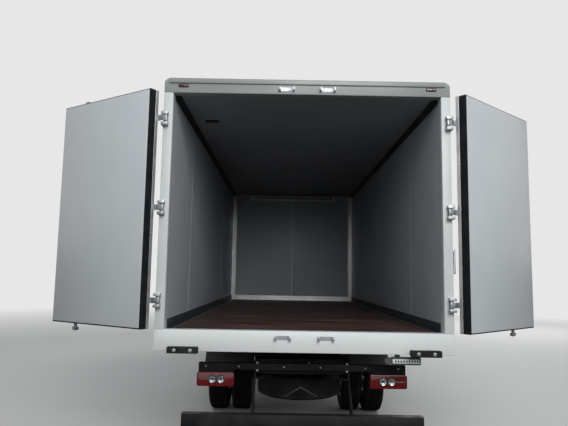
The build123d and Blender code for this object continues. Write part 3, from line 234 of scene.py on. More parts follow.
def nothingSelected():
    if bpy.context.object and bpy.context.object.mode != "OBJECT":
        toMode("OBJECT")
    bpy.ops.object.select_all(action="DESELECT")


def pick(piece):
    nothingSelected()
    piece.select_set(True)
    bpy.context.view_layer.objects.active = piece


def editAll(piece):
    pick(piece)
    toMode("EDIT")
    bpy.ops.mesh.select_all(action="SELECT")


def linked(name, data):
    piece = bpy.data.objects.new(name, data)
    bpy.context.scene.collection.objects.link(piece)
    return piece


def rawPiece(name, verts, edges, faces):
    mesh = bpy.data.meshes.new(name)
    mesh.from_pydata(verts, edges, faces)
    return linked(name, mesh)


def applyModifier(piece, kind, **settings):
    pick(piece)
    mod = piece.modifiers.new(kind.lower(), kind)
    for key, value in settings.items():
        setattr(mod, key, value)
    bpy.ops.object.modifier_apply(modifier=mod.name)


def smooth(piece, angle=35):
    pick(piece)
    bpy.ops.object.shade_smooth_by_angle(angle=math.radians(angle))


def roundEdges(piece, width, segments=2, angle=35):
    applyModifier(piece, "BEVEL", width=width, segments=segments, limit_method="ANGLE",
                  angle_limit=math.radians(angle), use_clamp_overlap=True)
    smooth(piece, angle)


def placed(piece, matrix):
    piece.matrix_world = matrix
    bpy.ops.object.transform_apply(location=True, rotation=True, scale=True)
    return piece


def block(low, high, bevel=0.0, segments=2):
    nothingSelected()
    low, high = Vector(low), Vector(high)
    bpy.ops.mesh.primitive_cube_add(size=1)
    spot = Matrix.Translation((low + high) / 2) @ Matrix.Diagonal((*(high - low), 1))
    piece = placed(bpy.context.object, spot)
    if bevel:
        roundEdges(piece, bevel, segments)
    return piece


# a slab whose corners are round as seen along one axis (0, 1 or 2)
def slab(low, high, axis, radius, bevel=0.0, segments=6):
    piece = block(low, high)
    pick(piece)
    toMode("EDIT")
    bpy.ops.mesh.select_mode(type="EDGE")
    bpy.ops.mesh.select_all(action="DESELECT")
    toMode("OBJECT")
    for edge in piece.data.edges:
        start, end = (piece.data.vertices[i].co for i in edge.vertices)
        edge.select = abs((end - start).normalized()[axis]) > 0.9
    toMode("EDIT")
    bpy.ops.mesh.bevel(offset=radius, segments=segments, affect="EDGES")
    toMode("OBJECT")
    if bevel:
        roundEdges(piece, bevel, 2, 50)
    else:
        smooth(piece, 40)
    return piece


# low and high corner of a box about its middle
def about(middle, half):
    return Vector(middle) - Vector(half), Vector(middle) + Vector(half)


def aimed(start, end):
    start, end = Vector(start), Vector(end)
    turn = (end - start).to_track_quat("Z", "Y").to_matrix().to_4x4()
    return Matrix.Translation((start + end) / 2) @ turn, (end - start).length


def roundBar(start, end, radius, sides=24, bevel=0.0):
    nothingSelected()
    spot, length = aimed(start, end)
    bpy.ops.mesh.primitive_cylinder_add(vertices=sides, radius=radius, depth=length)
    piece = placed(bpy.context.object, spot)
    if bevel:
        roundEdges(piece, bevel, 2, 50)
    else:
        smooth(piece, 40)
    return piece


def boltHead(place, towards, size=0.009, height=0.006):
    place, towards = Vector(place), Vector(towards)
    piece = roundBar(place, place + towards * height, size, 6)
    roundEdges(piece, size * 0.18, 1, 30)
    return piece


# a tube along straight runs, or a loop of it
def tubeRun(points, radius, closed=False, sides=3):
    data = bpy.data.curves.new("run", "CURVE")
    data.dimensions = "3D"
    data.bevel_depth = radius
    data.bevel_resolution = sides
    data.use_fill_caps = True
    spline = data.splines.new("POLY")
    spline.points.add(len(points) - 1)
    for point, spot in zip(spline.points, points):
        point.co = (*spot, 1)
    spline.use_cyclic_u = closed
    pick(linked("run", data))
    bpy.ops.object.convert(target="MESH")
    smooth(bpy.context.object, 40)
    return bpy.context.object


# an upright rectangle's four corners, at one depth
def uprightLoop(xFrom, xTo, y, zFrom, zTo):
    return [(xFrom, y, zFrom), (xTo, y, zFrom), (xTo, y, zTo), (xFrom, y, zTo)]


# merges the points that lie together and turns the faces outwards
def mergeAll(threshold):
    bpy.ops.mesh.select_all(action="SELECT")
    bpy.ops.mesh.remove_doubles(threshold=threshold)
    bpy.ops.mesh.normals_make_consistent(inside=False)
    toMode("OBJECT")


# a profile of (distance from the axis, place along it) points, spun about the axis through centre
def turned(profile, centre, axis, steps=48):
    axis, centre = Vector(axis).normalized(), Vector(centre)
    side = Vector((0, 0, 1)) if abs(axis.z) < 0.5 else Vector((0, 1, 0))
    points = [centre + side * away + axis * along for away, along in profile]
    count = len(points)
    piece = rawPiece("turned", points, [(i, (i + 1) % count) for i in range(count)], [])
    editAll(piece)
    bpy.ops.mesh.spin(steps=steps, angle=2 * math.pi, center=centre, axis=axis)
    mergeAll(0.00002)
    smooth(piece, 40)
    return piece


def joined(parts):
    nothingSelected()
    for part in parts:
        part.select_set(True)
    bpy.context.view_layer.objects.active = parts[0]
    if len(parts) > 1:
        bpy.ops.object.join()
    return parts[0]


def moved(piece, matrix):
    piece.data.transform(matrix)
    if matrix.determinant() < 0:
        piece.data.flip_normals()
    return piece


def copied(piece, matrix):
    return moved(linked(piece.name, piece.data.copy()), matrix)


# joins a piece's parts, and for a pair its other side, then gives it its name, finish and body
def finished(parts, name, body, finish, replaced=(), pair=False):
    piece = joined(parts) if isinstance(parts, list) else parts
    if pair:
        joined([piece, copied(piece, Matrix.Scale(-1, 4, leftToRight))])
    piece.name = name
    piece.data.materials.clear()
    piece.data.materials.append(materials[finish])
    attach(piece, body)
    if replaced:
        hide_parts(*replaced)
    return piece


# the CAD node's own form, merged, with its edges rounded
def softCopy(nodeName, bevel, segments=2, angle=30):
    piece = linked(nodeName + "Soft", nodes[nodeName].data.copy())
    editAll(piece)
    bpy.ops.mesh.remove_doubles(threshold=0.00004)
    bpy.ops.mesh.dissolve_limited(angle_limit=math.radians(0.6))
    toMode("OBJECT")
    if bevel:
        roundEdges(piece, bevel, segments, angle)
    return piece


# what lies above a height, or below it, is cut off
def cutOff(piece, z, upOrDown):
    editAll(piece)
    bpy.ops.mesh.bisect(plane_co=(0, 0, z), plane_no=(0, 0, upOrDown), use_fill=True, clear_outer=True)
    toMode("OBJECT")
    return piece


# places read from the frame
portalLow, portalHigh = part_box("rear_portal")
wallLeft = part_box("left_wall")
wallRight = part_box("right_wall")
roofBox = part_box("roof")
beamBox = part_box("lamp_beam")
insideLeft, insideRight = wallLeft[1].x, wallRight[0].x
insideWalls = ((insideLeft, 1), (insideRight, -1))
floorTop, ceilingZ = wallLeft[0].z, wallLeft[1].z
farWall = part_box("front_wall")[0].y
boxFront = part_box("front_wall")[1].y
portalFront = wallLeft[0].y
portalRear = portalFront - 0.09


# edges of the plain nodes: node, rounding, name of the piece
softened = (
    ("frame_rails", 0.002, "frameRails"), ("crossmembers", 0.002, "crossMembers"),
    ("body_bearers", 0.002, "bodyBearers"), ("driveline", 0.006, "engineAndShaft"),
    ("front_axle", 0.005, "frontAxle"), ("rear_axle", 0.004, "rearAxle"),
    ("leaf_springs", 0.0015, "leafSprings"), ("fuel_tank", 0.004, "fuelTank"),
    ("battery_box", 0.004, "batteryBox"), ("exhaust", 0.002, "exhaustPipes"),
    ("mudguards", 0.001, "mudguardSheets"), ("side_guards", 0.003, "sideGuards"),
    ("underrun_bar", 0.004, "underrunBar"), ("lamp_beam", 0.003, "lampBeam"),
    ("spare_rim", 0.003, "spareRim"), ("roof", 0.004, "roofPanel"),
    ("front_wall", 0.003, "frontWallPanel"), ("left_wall", 0.002, "leftWallPanel"),
    ("right_wall", 0.002, "rightWallPanel"), ("box_floor", 0.002, "floorPanel"),
    ("dark_trims", 0.0008, "kickPlates"), ("portal_fittings", 0.0015, "portalIronwork"),
    ("dock_buffers", 0.004, "dockBuffers"), ("condenser", 0.004, "condenserCase"),
    ("evaporator", 0.003, "airOutlet"), ("left_knuckle", 0.003, "leftKnuckle"),
    ("right_knuckle", 0.003, "rightKnuckle"), ("tie_rod", 0.002, "tieRod"),
    ("rear_door_left", 0.003, "leafLeft"), ("rear_door_right", 0.003, "leafRight"),
    ("rear_door_left_gear", 0.0015, "lockGearLeft"), ("rear_door_right_gear", 0.0015, "lockGearRight"),
    ("rear_door_left_seal", 0.002, "leafSealLeft"), ("rear_door_right_seal", 0.002, "leafSealRight"),
    ("cab_shell", 0.005, "cabBody"), ("cab_door_left", 0.004, "cabDoorLeft"),
    ("cab_door_right", 0.004, "cabDoorRight"), ("grille_mask", 0.003, "grilleMask"),
    ("front_bumper", 0.008, "frontBumper"), ("mirrors", 0.003, "mirrorHeads"),
    ("dashboard", 0.006, "dashPanel"),
)
# lining of the box: the node's finish inside, a greyer tone than the white skin as painted shade (darkest on
# the ceiling), and the way its inner face looks
paintedShadeLinings = {
    "left_wall": ("wallLiningPaintedShade", (1, 0, 0)), "right_wall": ("wallLiningPaintedShade", (-1, 0, 0)),
    "front_wall": ("wallLiningPaintedShade", (0, -1, 0)), "roof": ("ceilingLiningPaintedShade", (0, 0, -1)),
}
for nodeName, bevel, pieceName in softened:
    soft = softCopy(nodeName, bevel)
    finished(soft, pieceName, bodyOf[nodeName], slotFinish[slotOf[nodeName]], (nodeName,))
    if nodeName in paintedShadeLinings:
        finish, inwards = paintedShadeLinings[nodeName]
        soft.data.materials.append(materials[finish])
        for polygon in soft.data.polygons:
            polygon.material_index = int(polygon.normal.dot(Vector(inwards)) > 0.7)
print("softened", len(softened), "nodes")


# portal: sill, posts and header as separate members, so that their joints show; the sill gets a paler finish
# as painted light and the header a darker one as painted shade
portalParts = dict(sill=0.161, header=0.118, joint=0.0005, bevel=0.0025)


def makePortal():
    whole = softCopy("rear_portal", 0)
    sillTop = portalLow.z + portalParts["sill"]
    headLow = portalHigh.z - portalParts["header"]
    gap = portalParts["joint"]
    sill = cutOff(copied(whole, Matrix()), sillTop - gap, 1)
    posts = cutOff(cutOff(copied(whole, Matrix()), headLow - gap, 1), sillTop + gap, -1)
    header = cutOff(whole, headLow + gap, -1)
    for member in (sill, posts, header):
        roundEdges(member, portalParts["bevel"], 2, 50)
    finished(posts, "portalPosts", "truck", "portalPaint", ("rear_portal",))
    finished(sill, "portalSill", "truck", "sillPaintedLight")
    finished(header, "portalHeader", "truck", "headerPaintedShade")


# rear leaves, modelled in their own plane: along the leaf from the pin, and its depth inwards
leaf = dict(pinOut=1.120, pinBehind=0.035, openLeft=213.05, openRight=221.38, start=0.0535, end=1.112,
            face=0.035, sealFrom=0.065, stripProud=0.0016, stripGauge=0.002, stripBevel=0.0005,
            finRadius=0.0045, finDepths=(0.078, 0.096, 0.114))
leafLow, leafHigh = (corner.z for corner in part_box("rear_door_left"))


def leafPlace(side):
    opened = leaf["openLeft"] if side < 0 else leaf["openRight"]
    heading = math.radians(-opened if side < 0 else 180 + opened)
    spot = Matrix.Translation((side * leaf["pinOut"], portalRear - leaf["pinBehind"], 0))
    return spot @ Matrix.Rotation(heading, 4, "Z") @ Matrix.Scale(-side, 4, (0, 1, 0))


def makeLeafEdges(side, label):
    proud, gauge = leaf["stripProud"], leaf["stripGauge"]
    start, end = leaf["start"] - proud, leaf["end"] + proud
    low, high = leafLow - proud, leafHigh + proud
    spans = (
        ("edgeStrip", "tankAlloy", (start, leaf["start"] + gauge, low, high),
         (leaf["end"] - gauge, end, low, high)),
        ("edgeCover", "sealRubber", (start, end, low, leafLow + gauge), (start, end, leafHigh - gauge, high)),
    )
    near, far = leaf["face"] + gauge, leaf["sealFrom"]
    body = "rear_door_%s_body" % label.lower()
    for pieceName, finish, *pair in spans:
        strips = [block((xFrom, near, zFrom), (xTo, far, zTo), leaf["stripBevel"], 1)
                  for xFrom, xTo, zFrom, zTo in pair]
        finished(moved(joined(strips), leafPlace(side)), pieceName + label, body, finish)
    fins = []
    for depth in leaf["finDepths"]:
        corners = uprightLoop(leaf["start"], leaf["end"], depth, leafLow, leafHigh)
        fins.append(tubeRun(corners, leaf["finRadius"], True, 2))
    finished(moved(joined(fins), leafPlace(side)), "sealLips" + label, body, "sealRubber")


# lamps: red housings with two clear rounds and a bright bar, and the small markers in the header
lamp = dict(inner=0.557, outer=0.862, high=0.71, low=0.597, deep=0.062, proud=0.005, corner=0.016,
                 roundRadius=0.031, rounds=(0.665, 0.735), barFrom=0.095, barTo=0.02, barTall=0.004,
                 markerOut=0.997, markerDrop=0.061, markerWidth=0.078, markerHeight=0.022,
                 markerDeep=0.012, markerSeal=0.003, ledPitch=0.024, ledWide=0.006, ledTall=0.004)


def makeLamps():
    low, high, outer, radius = (lamp[key] for key in ("low", "high", "outer", "roundRadius"))
    rearFace = beamBox[0].y - lamp["proud"]
    middle = (high + low) / 2
    red = [slab((lamp["inner"], rearFace, low), (outer, rearFace + lamp["deep"], high), 1,
                lamp["corner"], 0.004)]
    clear, bright, rims = [], [], []
    for x in lamp["rounds"]:
        rimProfile = ((radius - 0.004, 0.001), (radius - 0.004, 0.004), (radius + 0.002, 0.0035),
                      (radius + 0.004, 0.001))
        bowlProfile = ((0.0, 0.0), (radius * 0.6, 0.001), (radius - 0.003, 0.0032), (radius - 0.003, 0.0))
        lensProfile = ((0.0, 0.0085), (radius * 0.55, 0.0075), (radius - 0.004, 0.0045),
                       (radius - 0.004, 0.0035), (0.0, 0.0055))
        for parts, profile in ((rims, rimProfile), (bright, bowlProfile), (clear, lensProfile)):
            parts.append(turned(profile, (x, rearFace, middle), rearwards, 32))
    bright.append(slab((outer - lamp["barFrom"], rearFace - 0.001, middle - lamp["barTall"]),
                       (outer - lamp["barTo"], rearFace + 0.003, middle + lamp["barTall"]), 1, 0.003))
    x, z = lamp["markerOut"], portalHigh.z - lamp["markerDrop"]
    half, tall, deep = lamp["markerWidth"] / 2, lamp["markerHeight"] / 2, lamp["markerDeep"]
    seal, wide, ledTall = lamp["markerSeal"], lamp["ledWide"], lamp["ledTall"]
    marker = slab((x - half, portalRear - deep, z - tall), (x + half, portalRear, z + tall), 1, 0.010, 0.003)
    for shift in (-1, 0, 1):
        led = x + shift * lamp["ledPitch"]
        red.append(slab((led - wide, portalRear - deep - 0.0006, z - ledTall),
                        (led + wide, portalRear - deep + 0.002, z + ledTall), 1, 0.002))
    gasket = slab((x - half - seal, portalRear - seal, z - tall - seal),
                  (x + half + seal, portalRear, z + tall + seal), 1, 0.007)
    finished(red, "lampLenses", "truck", "lampRed", ("rear_lamps",), pair=True)
    finished(marker, "markerLamps", "truck", "ledRed", pair=True)
    finished(clear, "lampRounds", "truck", "lampClear", pair=True)
    finished(rims + [gasket], "lampRings", "truck", "mirrorPlastic", pair=True)
    finished(bright, "lampSegments", "truck", "reflector", pair=True)


# trims inside the box: corner angles at the far wall, seam covers, kick plate edging, lamp, air outlet
trims = dict(angleLeg=0.065, footLeg=0.075, gauge=0.002, angleBevel=0.0006, seamWidth=0.016,
             seamProud=0.0012, sideSeams=(0.98, 3.72), kickHigh=0.078, kickWidth=0.045, kickEdge=0.006,
             covingLeg=0.042, lampAcross=(-0.936, -0.803), lampAlong=0.805, lampLong=0.055,
             lampDeep=0.014, lensInset=0.012, vanes=44, vaneHalf=0.009, vaneMargin=0.06)


def makeInside():
    leg, foot, gauge, bevel = (trims[key] for key in ("angleLeg", "footLeg", "gauge", "angleBevel"))
    low, high = floorTop + 0.004, ceilingZ - trims["covingLeg"]
    kick, kickWidth = floorTop + trims["kickHigh"], trims["kickWidth"]
    bright = []
    for wall, inwards in insideWalls:
        edge = wall + inwards * (kickWidth - 0.001)
        bright += [
            block((wall, farWall - gauge, low), (wall + inwards * leg, farWall, high), bevel, 1),
            block((wall, farWall - leg, kick), (wall + inwards * gauge, farWall, high), bevel, 1),
            block((edge, portalFront + 0.02, floorTop),
                  (edge + inwards * trims["kickEdge"], farWall - 0.004, floorTop + 0.007), 0.0008, 1),
        ]
    left, right = insideLeft + kickWidth, insideRight - kickWidth
    for back, rise in ((gauge + 0.001, foot), (foot, gauge)):
        bright.append(block((left, farWall - back, floorTop), (right, farWall, floorTop + rise), bevel, 1))
    finished(bright, "cornerAngles", "truck", "tankAlloy")
    width, proud = trims["seamWidth"] / 2, trims["seamProud"]
    seams = [block((-width, farWall - proud, floorTop + foot), (width, farWall, high), 0.0005, 1)]
    for along in trims["sideSeams"]:
        y = portalFront + along
        for wall, inwards in insideWalls:
            seams.append(block((wall, y - width, kick), (wall + inwards * proud, y + width, high), 0.0005, 1))
    finished(seams, "seamCovers", "truck", "panelSkin")
    left, right = trims["lampAcross"]
    start, inset, lampLow = portalRear + trims["lampAlong"], trims["lensInset"], ceilingZ - trims["lampDeep"]
    end = start + trims["lampLong"]
    lampBase = slab((left, start, lampLow), (right, end, ceilingZ), 2, 0.012, 0.003)
    finished(lampBase, "ceilingLampBase", "truck", "darkTrim")
    lens = slab((left + inset, start + inset, lampLow - 0.006),
                (right - inset, end - inset, lampLow + 0.004), 2, 0.01, 0.003)
    finished(lens, "ceilingLampLens", "truck", "lampClear")
    outletLow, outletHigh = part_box("evaporator")
    margin, half = trims["vaneMargin"], trims["vaneHalf"]
    pitch = (outletHigh.x - outletLow.x - 2 * margin) / trims["vanes"]
    vanes = []
    for i in range(trims["vanes"]):
        x = outletLow.x + margin + (i + 0.5) * pitch
        vanes.append(block((x - half, outletLow.y - 0.002, outletLow.z + 0.022),
                           (x + half, outletLow.y + 0.004, outletHigh.z - 0.016), 0.0015, 1))
    finished(vanes, "outletSlots", "truck", "darkTrim")
    lip = block((outletLow.x + 0.01, outletLow.y - 0.003, outletLow.z - 0.004),
                (outletHigh.x - 0.01, outletHigh.y, outletLow.z + 0.006), 0.002)
    finished(lip, "outletLip", "truck", "galvanised")


# bolts and small ironwork at the rear
rearBits = dict(keeperOut=0.165, keeperSpread=0.03, keeperHeights=(0.111, 2.074), bufferInner=0.806,
                bufferOuter=1.037, bufferReach=0.062, bufferMiddle=0.013, bufferInset=0.055,
                railSpot=(0.368, 0.76), railSpread=0.03, beamBolts=(0.15, 0.52, 0.79), beamDrop=0.027,
                plateAcross=(0.672, 0.903), plateHeight=(0.835, 0.895), plateBehind=0.05,
                plateRound=0.648, slots=9, slotFrom=0.03, slotPitch=0.0212, slotWide=0.011)


def makeRearBits():
    bolts = []
    for height in rearBits["keeperHeights"]:
        for shift in (-1, 1):
            x = rearBits["keeperOut"] + shift * rearBits["keeperSpread"]
            bolts.append(boltHead((x, portalRear - 0.003, portalLow.z + height), rearwards, 0.006, 0.004))
    inset = rearBits["bufferInset"]
    y = portalRear - rearBits["bufferReach"] + 0.001
    for x in (rearBits["bufferInner"] + inset, rearBits["bufferOuter"] - inset):
        spot = Vector((x, y, portalLow.z + rearBits["bufferMiddle"]))
        bolts.append(boltHead(spot, rearwards, 0.009, 0.005))
        bolts.append(roundBar(spot, spot + Vector((0, -0.002, 0)), 0.014, 20, 0.0006))
    y = beamBox[0].y - 0.0005
    railX, railZ = rearBits["railSpot"]
    for shift in (-1, 1):
        bolts.append(boltHead((railX, y, railZ + shift * rearBits["railSpread"]), rearwards, 0.011, 0.008))
    for x in rearBits["beamBolts"]:
        bolts.append(boltHead((x, y, beamBox[1].z - rearBits["beamDrop"]), rearwards, 0.008, 0.006))
    finished(bolts, "rearBolts", "truck", "galvanised", pair=True)

    y = portalRear + rearBits["plateBehind"]
    inner, outer = rearBits["plateAcross"]
    low, high = rearBits["plateHeight"]
    roundX = rearBits["plateRound"]
    middle = (low + high) / 2
    holder = [
        slab((inner, y, low), (outer, y + 0.022, high), 1, 0.008, 0.002),
        turned(((0.0, 0.0), (0.0, 0.016), (0.026, 0.014), (0.03, 0.008), (0.03, 0.0)),
               (roundX, y + 0.012, middle), rearwards, 32),
        block((roundX, y + 0.006, middle - 0.012), (inner + 0.01, y + 0.016, middle + 0.012), 0.002, 1),
    ]
    for x in (inner + 0.05, outer - 0.05):
        holder.append(block((x - 0.02, y + 0.01, high - 0.004),
                            (x + 0.02, y + 0.016, portalLow.z + 0.004), 0.001, 1))
    finished(holder, "plateLampHolder", "truck", "bumperPlastic")
    lens = slab((inner + 0.012, y - 0.004, low + 0.012), (outer - 0.012, y + 0.004, high - 0.016), 1, 0.005,
                0.0015)
    finished(lens, "plateLampLens", "truck", "portalPaint")
    slots = []
    for i in range(rearBits["slots"]):
        x = inner + rearBits["slotFrom"] + i * rearBits["slotPitch"]
        slots.append(slab((x, y - 0.0052, low + 0.02),
                          (x + rearBits["slotWide"], y - 0.002, high - 0.024), 1, 0.002))
    finished(slots, "plateLampSlots", "truck", "mirrorPlastic")


# spare wheel's strap, a shallow gable over the tread
strap = dict(apex=0.004, apexZ=0.528, reach=0.145, drop=0.085, wide=0.009, gauge=0.003, steps=24)


def makeStrap():
    low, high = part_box("spare_tyre")
    radius = (high.y - low.y) / 2 + 0.001
    verts, faces = [], []
    steps, reach, half = strap["steps"], strap["reach"], strap["wide"] / 2
    for i in range(steps + 1):
        x = strap["apex"] - reach + 2 * reach * i / steps
        z = strap["apexZ"] - strap["drop"] * abs(x - strap["apex"]) / reach
        y = (low.y + high.y) / 2 - math.sqrt(radius ** 2 - x ** 2)
        verts += [(x, y, z - half), (x, y, z + half)]
    for i in range(steps):
        faces.append((2 * i, 2 * i + 2, 2 * i + 3, 2 * i + 1))
    piece = rawPiece("strap", verts, [], faces)
    applyModifier(piece, "SOLIDIFY", thickness=strap["gauge"], offset=1)
    roundEdges(piece, 0.0006, 1)
    finished(piece, "spareStrap", "truck", "strapSteel")


# tyres: one tread pitch with its cross groove, copied round
tyre = dict(radius=0.39, half=0.1075, crown=0.0695, rim=0.228, bead=0.0855, beadTop=0.240, beadOut=0.0875,
            pitches=52, grooveShare=0.2, ribs=(0.0, 0.0135, 0.0325, 0.0505), ribGap=0.0075, ribDepth=0.011,
            ribSlope=0.0012, lugDepth=0.008)
# the sidewall's outline, from the bead to the shoulder: distance from the axle, and from the middle
sidewall = ((0.247, 0.0945), (0.252, 0.0965), (0.256, 0.0955), (0.280, 0.1030), (0.300, 0.1070),
            (0.309, 0.1075), (0.312, 0.1062), (0.316, 0.1072), (0.330, 0.1058), (0.350, 0.1005),
            (0.3545, 0.1000), (0.358, 0.0975), (0.368, 0.0935), (0.379, 0.0890), (0.386, 0.0810))


def tyreProfile():
    top, depth, half, slope = tyre["radius"], tyre["ribDepth"], tyre["ribGap"] / 2, tyre["ribSlope"]
    outline = [(tyre["rim"], tyre["bead"]), (tyre["beadTop"], tyre["beadOut"]), *sidewall,
               (top - 0.001, tyre["crown"])]
    for rib in reversed(tyre["ribs"][1:]):
        outline += [(top, rib + half), (top - depth, rib + half - slope), (top - depth, rib - half + slope),
                    (top, rib - half)]
    return outline + [(away, -along) for away, along in reversed(outline)]


def makeTyreMesh():
    profile = tyreProfile()
    count = len(profile)
    pitch = 2 * math.pi / tyre["pitches"]
    angles = (0.0, pitch * (1 - tyre["grooveShare"]), pitch)
    verts = [(along, away * math.sin(turn), away * math.cos(turn)) for turn in angles
             for away, along in profile]
    faces = []
    for step in range(2):
        for i in range(count):
            a, b = step * count + i, step * count + (i + 1) % count
            faces.append((a, b, b + count, a + count))
    piece = rawPiece("tyre", verts, [], faces)
    pick(piece)
    for polygon in piece.data.polygons:
        middle = polygon.center
        turn = math.atan2(middle.y, middle.z)
        polygon.select = (turn > angles[1] and math.hypot(middle.y, middle.z) > tyre["radius"] - 0.014
                          and abs(middle.x) > tyre["ribs"][3] + tyre["ribGap"] / 2)
    toMode("EDIT")
    bpy.ops.mesh.select_mode(type="FACE")
    bpy.ops.mesh.extrude_region_move(TRANSFORM_OT_translate={"value": (0, 0, -tyre["lugDepth"])})
    bpy.ops.mesh.select_all(action="SELECT")
    bpy.ops.mesh.spin(steps=tyre["pitches"] - 1, dupli=True, angle=-pitch * (tyre["pitches"] - 1),
                      center=(0, 0, 0), axis=(1, 0, 0))
    mergeAll(0.0002)
    smooth(piece, 32)
    return piece


# distances from the truck's middle: the disc that the nuts sit on, and the hub cap
wheel = dict(front=(0.955, 0.993), rear=(0.7395, 0.8175), nutRing=0.115, nuts=8, nutSize=0.015, nutHigh=0.02,
             studRadius=0.008, studProud=0.01)
hubCap = ((0.0, 0.006), (0.03, 0.005), (0.04, 0.0), (0.04, -0.004), (0.0, -0.004))


def makeWheels():
    model = makeTyreMesh()
    for label in ("front_left", "front_right", "rear_left", "rear_right"):
        low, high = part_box(label + "_tyre")
        side = -1 if "left" in label else 1
        centre = (low + high) / 2
        centres = [centre.x] if "front" in label else [low.x + tyre["half"], high.x - tyre["half"]]
        rubber = [copied(model, Matrix.Translation((x, centre.y, centre.z))) for x in centres]
        name = label.title().replace("_", "")
        finished(rubber, "treadedTyre" + name, bodyOf[label + "_tyre"], "tyreRubber", (label + "_tyre",))
        parts = [softCopy(label + "_rim", 0.003)]
        disc, hub = wheel[label.split("_")[0]]
        for i in range(wheel["nuts"]):
            turn = 2 * math.pi * (i + 0.5) / wheel["nuts"]
            spot = Vector((side * disc, centre.y + wheel["nutRing"] * math.sin(turn),
                           centre.z + wheel["nutRing"] * math.cos(turn)))
            stud = Vector((side * (wheel["nutHigh"] + wheel["studProud"]), 0, 0))
            parts.append(boltHead(spot, (side, 0, 0), wheel["nutSize"], wheel["nutHigh"]))
            parts.append(roundBar(spot, spot + stud, wheel["studRadius"], 12, 0.001))
        parts.append(turned(hubCap, (side * hub, centre.y, centre.z), (side, 0, 0), 32))
        finished(parts, "dishedRim" + name, bodyOf[label + "_rim"], "rimPaint", (label + "_rim",))
    low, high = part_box("spare_tyre")
    flat = Matrix.Translation((low + high) / 2) @ Matrix.Rotation(math.radians(90), 4, "Y")
    finished(copied(model, flat), "treadedSpare", "truck", "tyreRubber", ("spare_tyre",))
    bpy.data.objects.remove(model)


# cab: places worked out from the shell, doors, bumper and mirrors
cabLow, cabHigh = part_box("cab_shell")
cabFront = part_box("grille_mask")[0].y
cabHalf = (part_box("front_bumper")[1].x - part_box("front_bumper")[0].x) / 2
cab = dict(screenBase=1.330, screenTop=2.070, screenSet=0.04, screenLean=0.38, sealRadius=0.011,
           repeater=(0.115, 1.06), mirrorOut=0.09, mirrorWide=0.18, mirrorLow=1.42, mirrorHigh=1.80,
           mirrorBack=0.195, glassInset=0.022, treadRises=(0.050, 0.180), treads=5, treadOut=0.175,
           treadPitch=0.036, treadWide=0.014, treadSpan=(0.555, 0.385),
           dripRise=(2.118, 2.135, 2.085), dripSet=(0.16, 0.66, 0.62))


def screenY(z):
    return cabFront - cab["screenSet"] - cab["screenLean"] * (z - cab["screenBase"]) / (
        cab["screenTop"] - cab["screenBase"])


# a rubber section along the outline of a pane's outer face
def paneSeal(nodeName, normal, radius, keep):
    piece = softCopy(nodeName, 0)
    toMode("EDIT")
    bpy.ops.mesh.select_mode(type="FACE")
    toMode("OBJECT")
    for polygon in piece.data.polygons:
        polygon.select = not (polygon.normal.dot(Vector(normal)) > 0.8 and keep(polygon.center))
    toMode("EDIT")
    bpy.ops.mesh.delete(type="FACE")
    bpy.ops.mesh.select_all(action="SELECT")
    bpy.ops.mesh.delete(type="ONLY_FACE")
    toMode("OBJECT")
    bpy.ops.object.convert(target="CURVE")
    run = bpy.context.object.data
    run.dimensions = "3D"
    run.bevel_depth = radius
    run.bevel_resolution = 2
    bpy.ops.object.convert(target="MESH")
    smooth(bpy.context.object, 50)
    return bpy.context.object


def makeCabSeals():
    radius = cab["sealRadius"]
    middle = (cabLow.y + cabHigh.y) / 2
    screen = paneSeal("cab_glass", (0, 0.89, 0.46), radius + 0.003, lambda spot: spot.y > middle)
    rear = paneSeal("cab_glass", rearwards, radius, lambda spot: spot.y < middle)
    finished([screen, rear], "screenSeals", "cab", "sealRubber")
    for side, label in ((-1, "left"), (1, "right")):
        seal = paneSeal("cab_door_%s_glass" % label, (side, 0, 0), radius, lambda spot: True)
        finished(seal, "doorSeal" + label.title(), "cab_door_%s_body" % label, "sealRubber")


# wipers: a pivot, an arm and a blade along the screen
wiper = dict(pivots=(-0.52, 0.28), z=1.352, reach=0.36, rise=0.10, bladeHalf=0.29, bladeTilt=0.055,
             bladeOff=0.016, tipOff=0.030, clipHalf=0.03, clipDrop=0.012)


def makeWipers():
    parts = []
    z = wiper["z"]
    for x in wiper["pivots"]:
        tipX, tipZ = x + wiper["reach"], z + wiper["rise"]
        pivot = Vector((x, screenY(z) + 0.004, z))
        tip = Vector((tipX, screenY(tipZ) + wiper["tipOff"], tipZ))
        clip = Vector((wiper["clipHalf"], 0, wiper["clipDrop"]))
        behind = tip - Vector((0, 0.004, 0))
        parts.append(roundBar(pivot, pivot + Vector((0, 0.03, 0.014)), 0.016, 20, 0.004))
        parts.append(roundBar(pivot + Vector((0, 0.022, 0.008)), tip, 0.007, 10, 0.002))
        parts.append(roundBar(behind - clip, behind + clip, 0.009, 12, 0.002))
        ends = []
        for end in (-1, 1):
            endZ = tipZ + end * wiper["bladeTilt"]
            ends.append(Vector((tipX + end * wiper["bladeHalf"], screenY(endZ) + wiper["bladeOff"], endZ)))
        spot, length = aimed(*ends)
        parts.append(moved(block(*about((0, 0, 0), (0.004, 0.011, length / 2)), 0.002, 1), spot))
        spine = Vector((0, 0.012, 0.004))
        parts.append(roundBar(ends[0] + spine, ends[1] + spine, 0.004, 8))
    finished(parts, "wipers", "cab", "mirrorPlastic")


# headlamps: a dark tray, two bowls, an amber end and a clear cover
headlamp = dict(inner=0.610, outer=0.945, low=0.770, high=0.940, deep=0.030, corner=0.034, nip=0.010,
                bowlRadius=0.066, bowls=(0.690, 0.812), amberFrom=0.888, amberInset=0.016,
                coverGauge=0.003, coverInset=0.004)


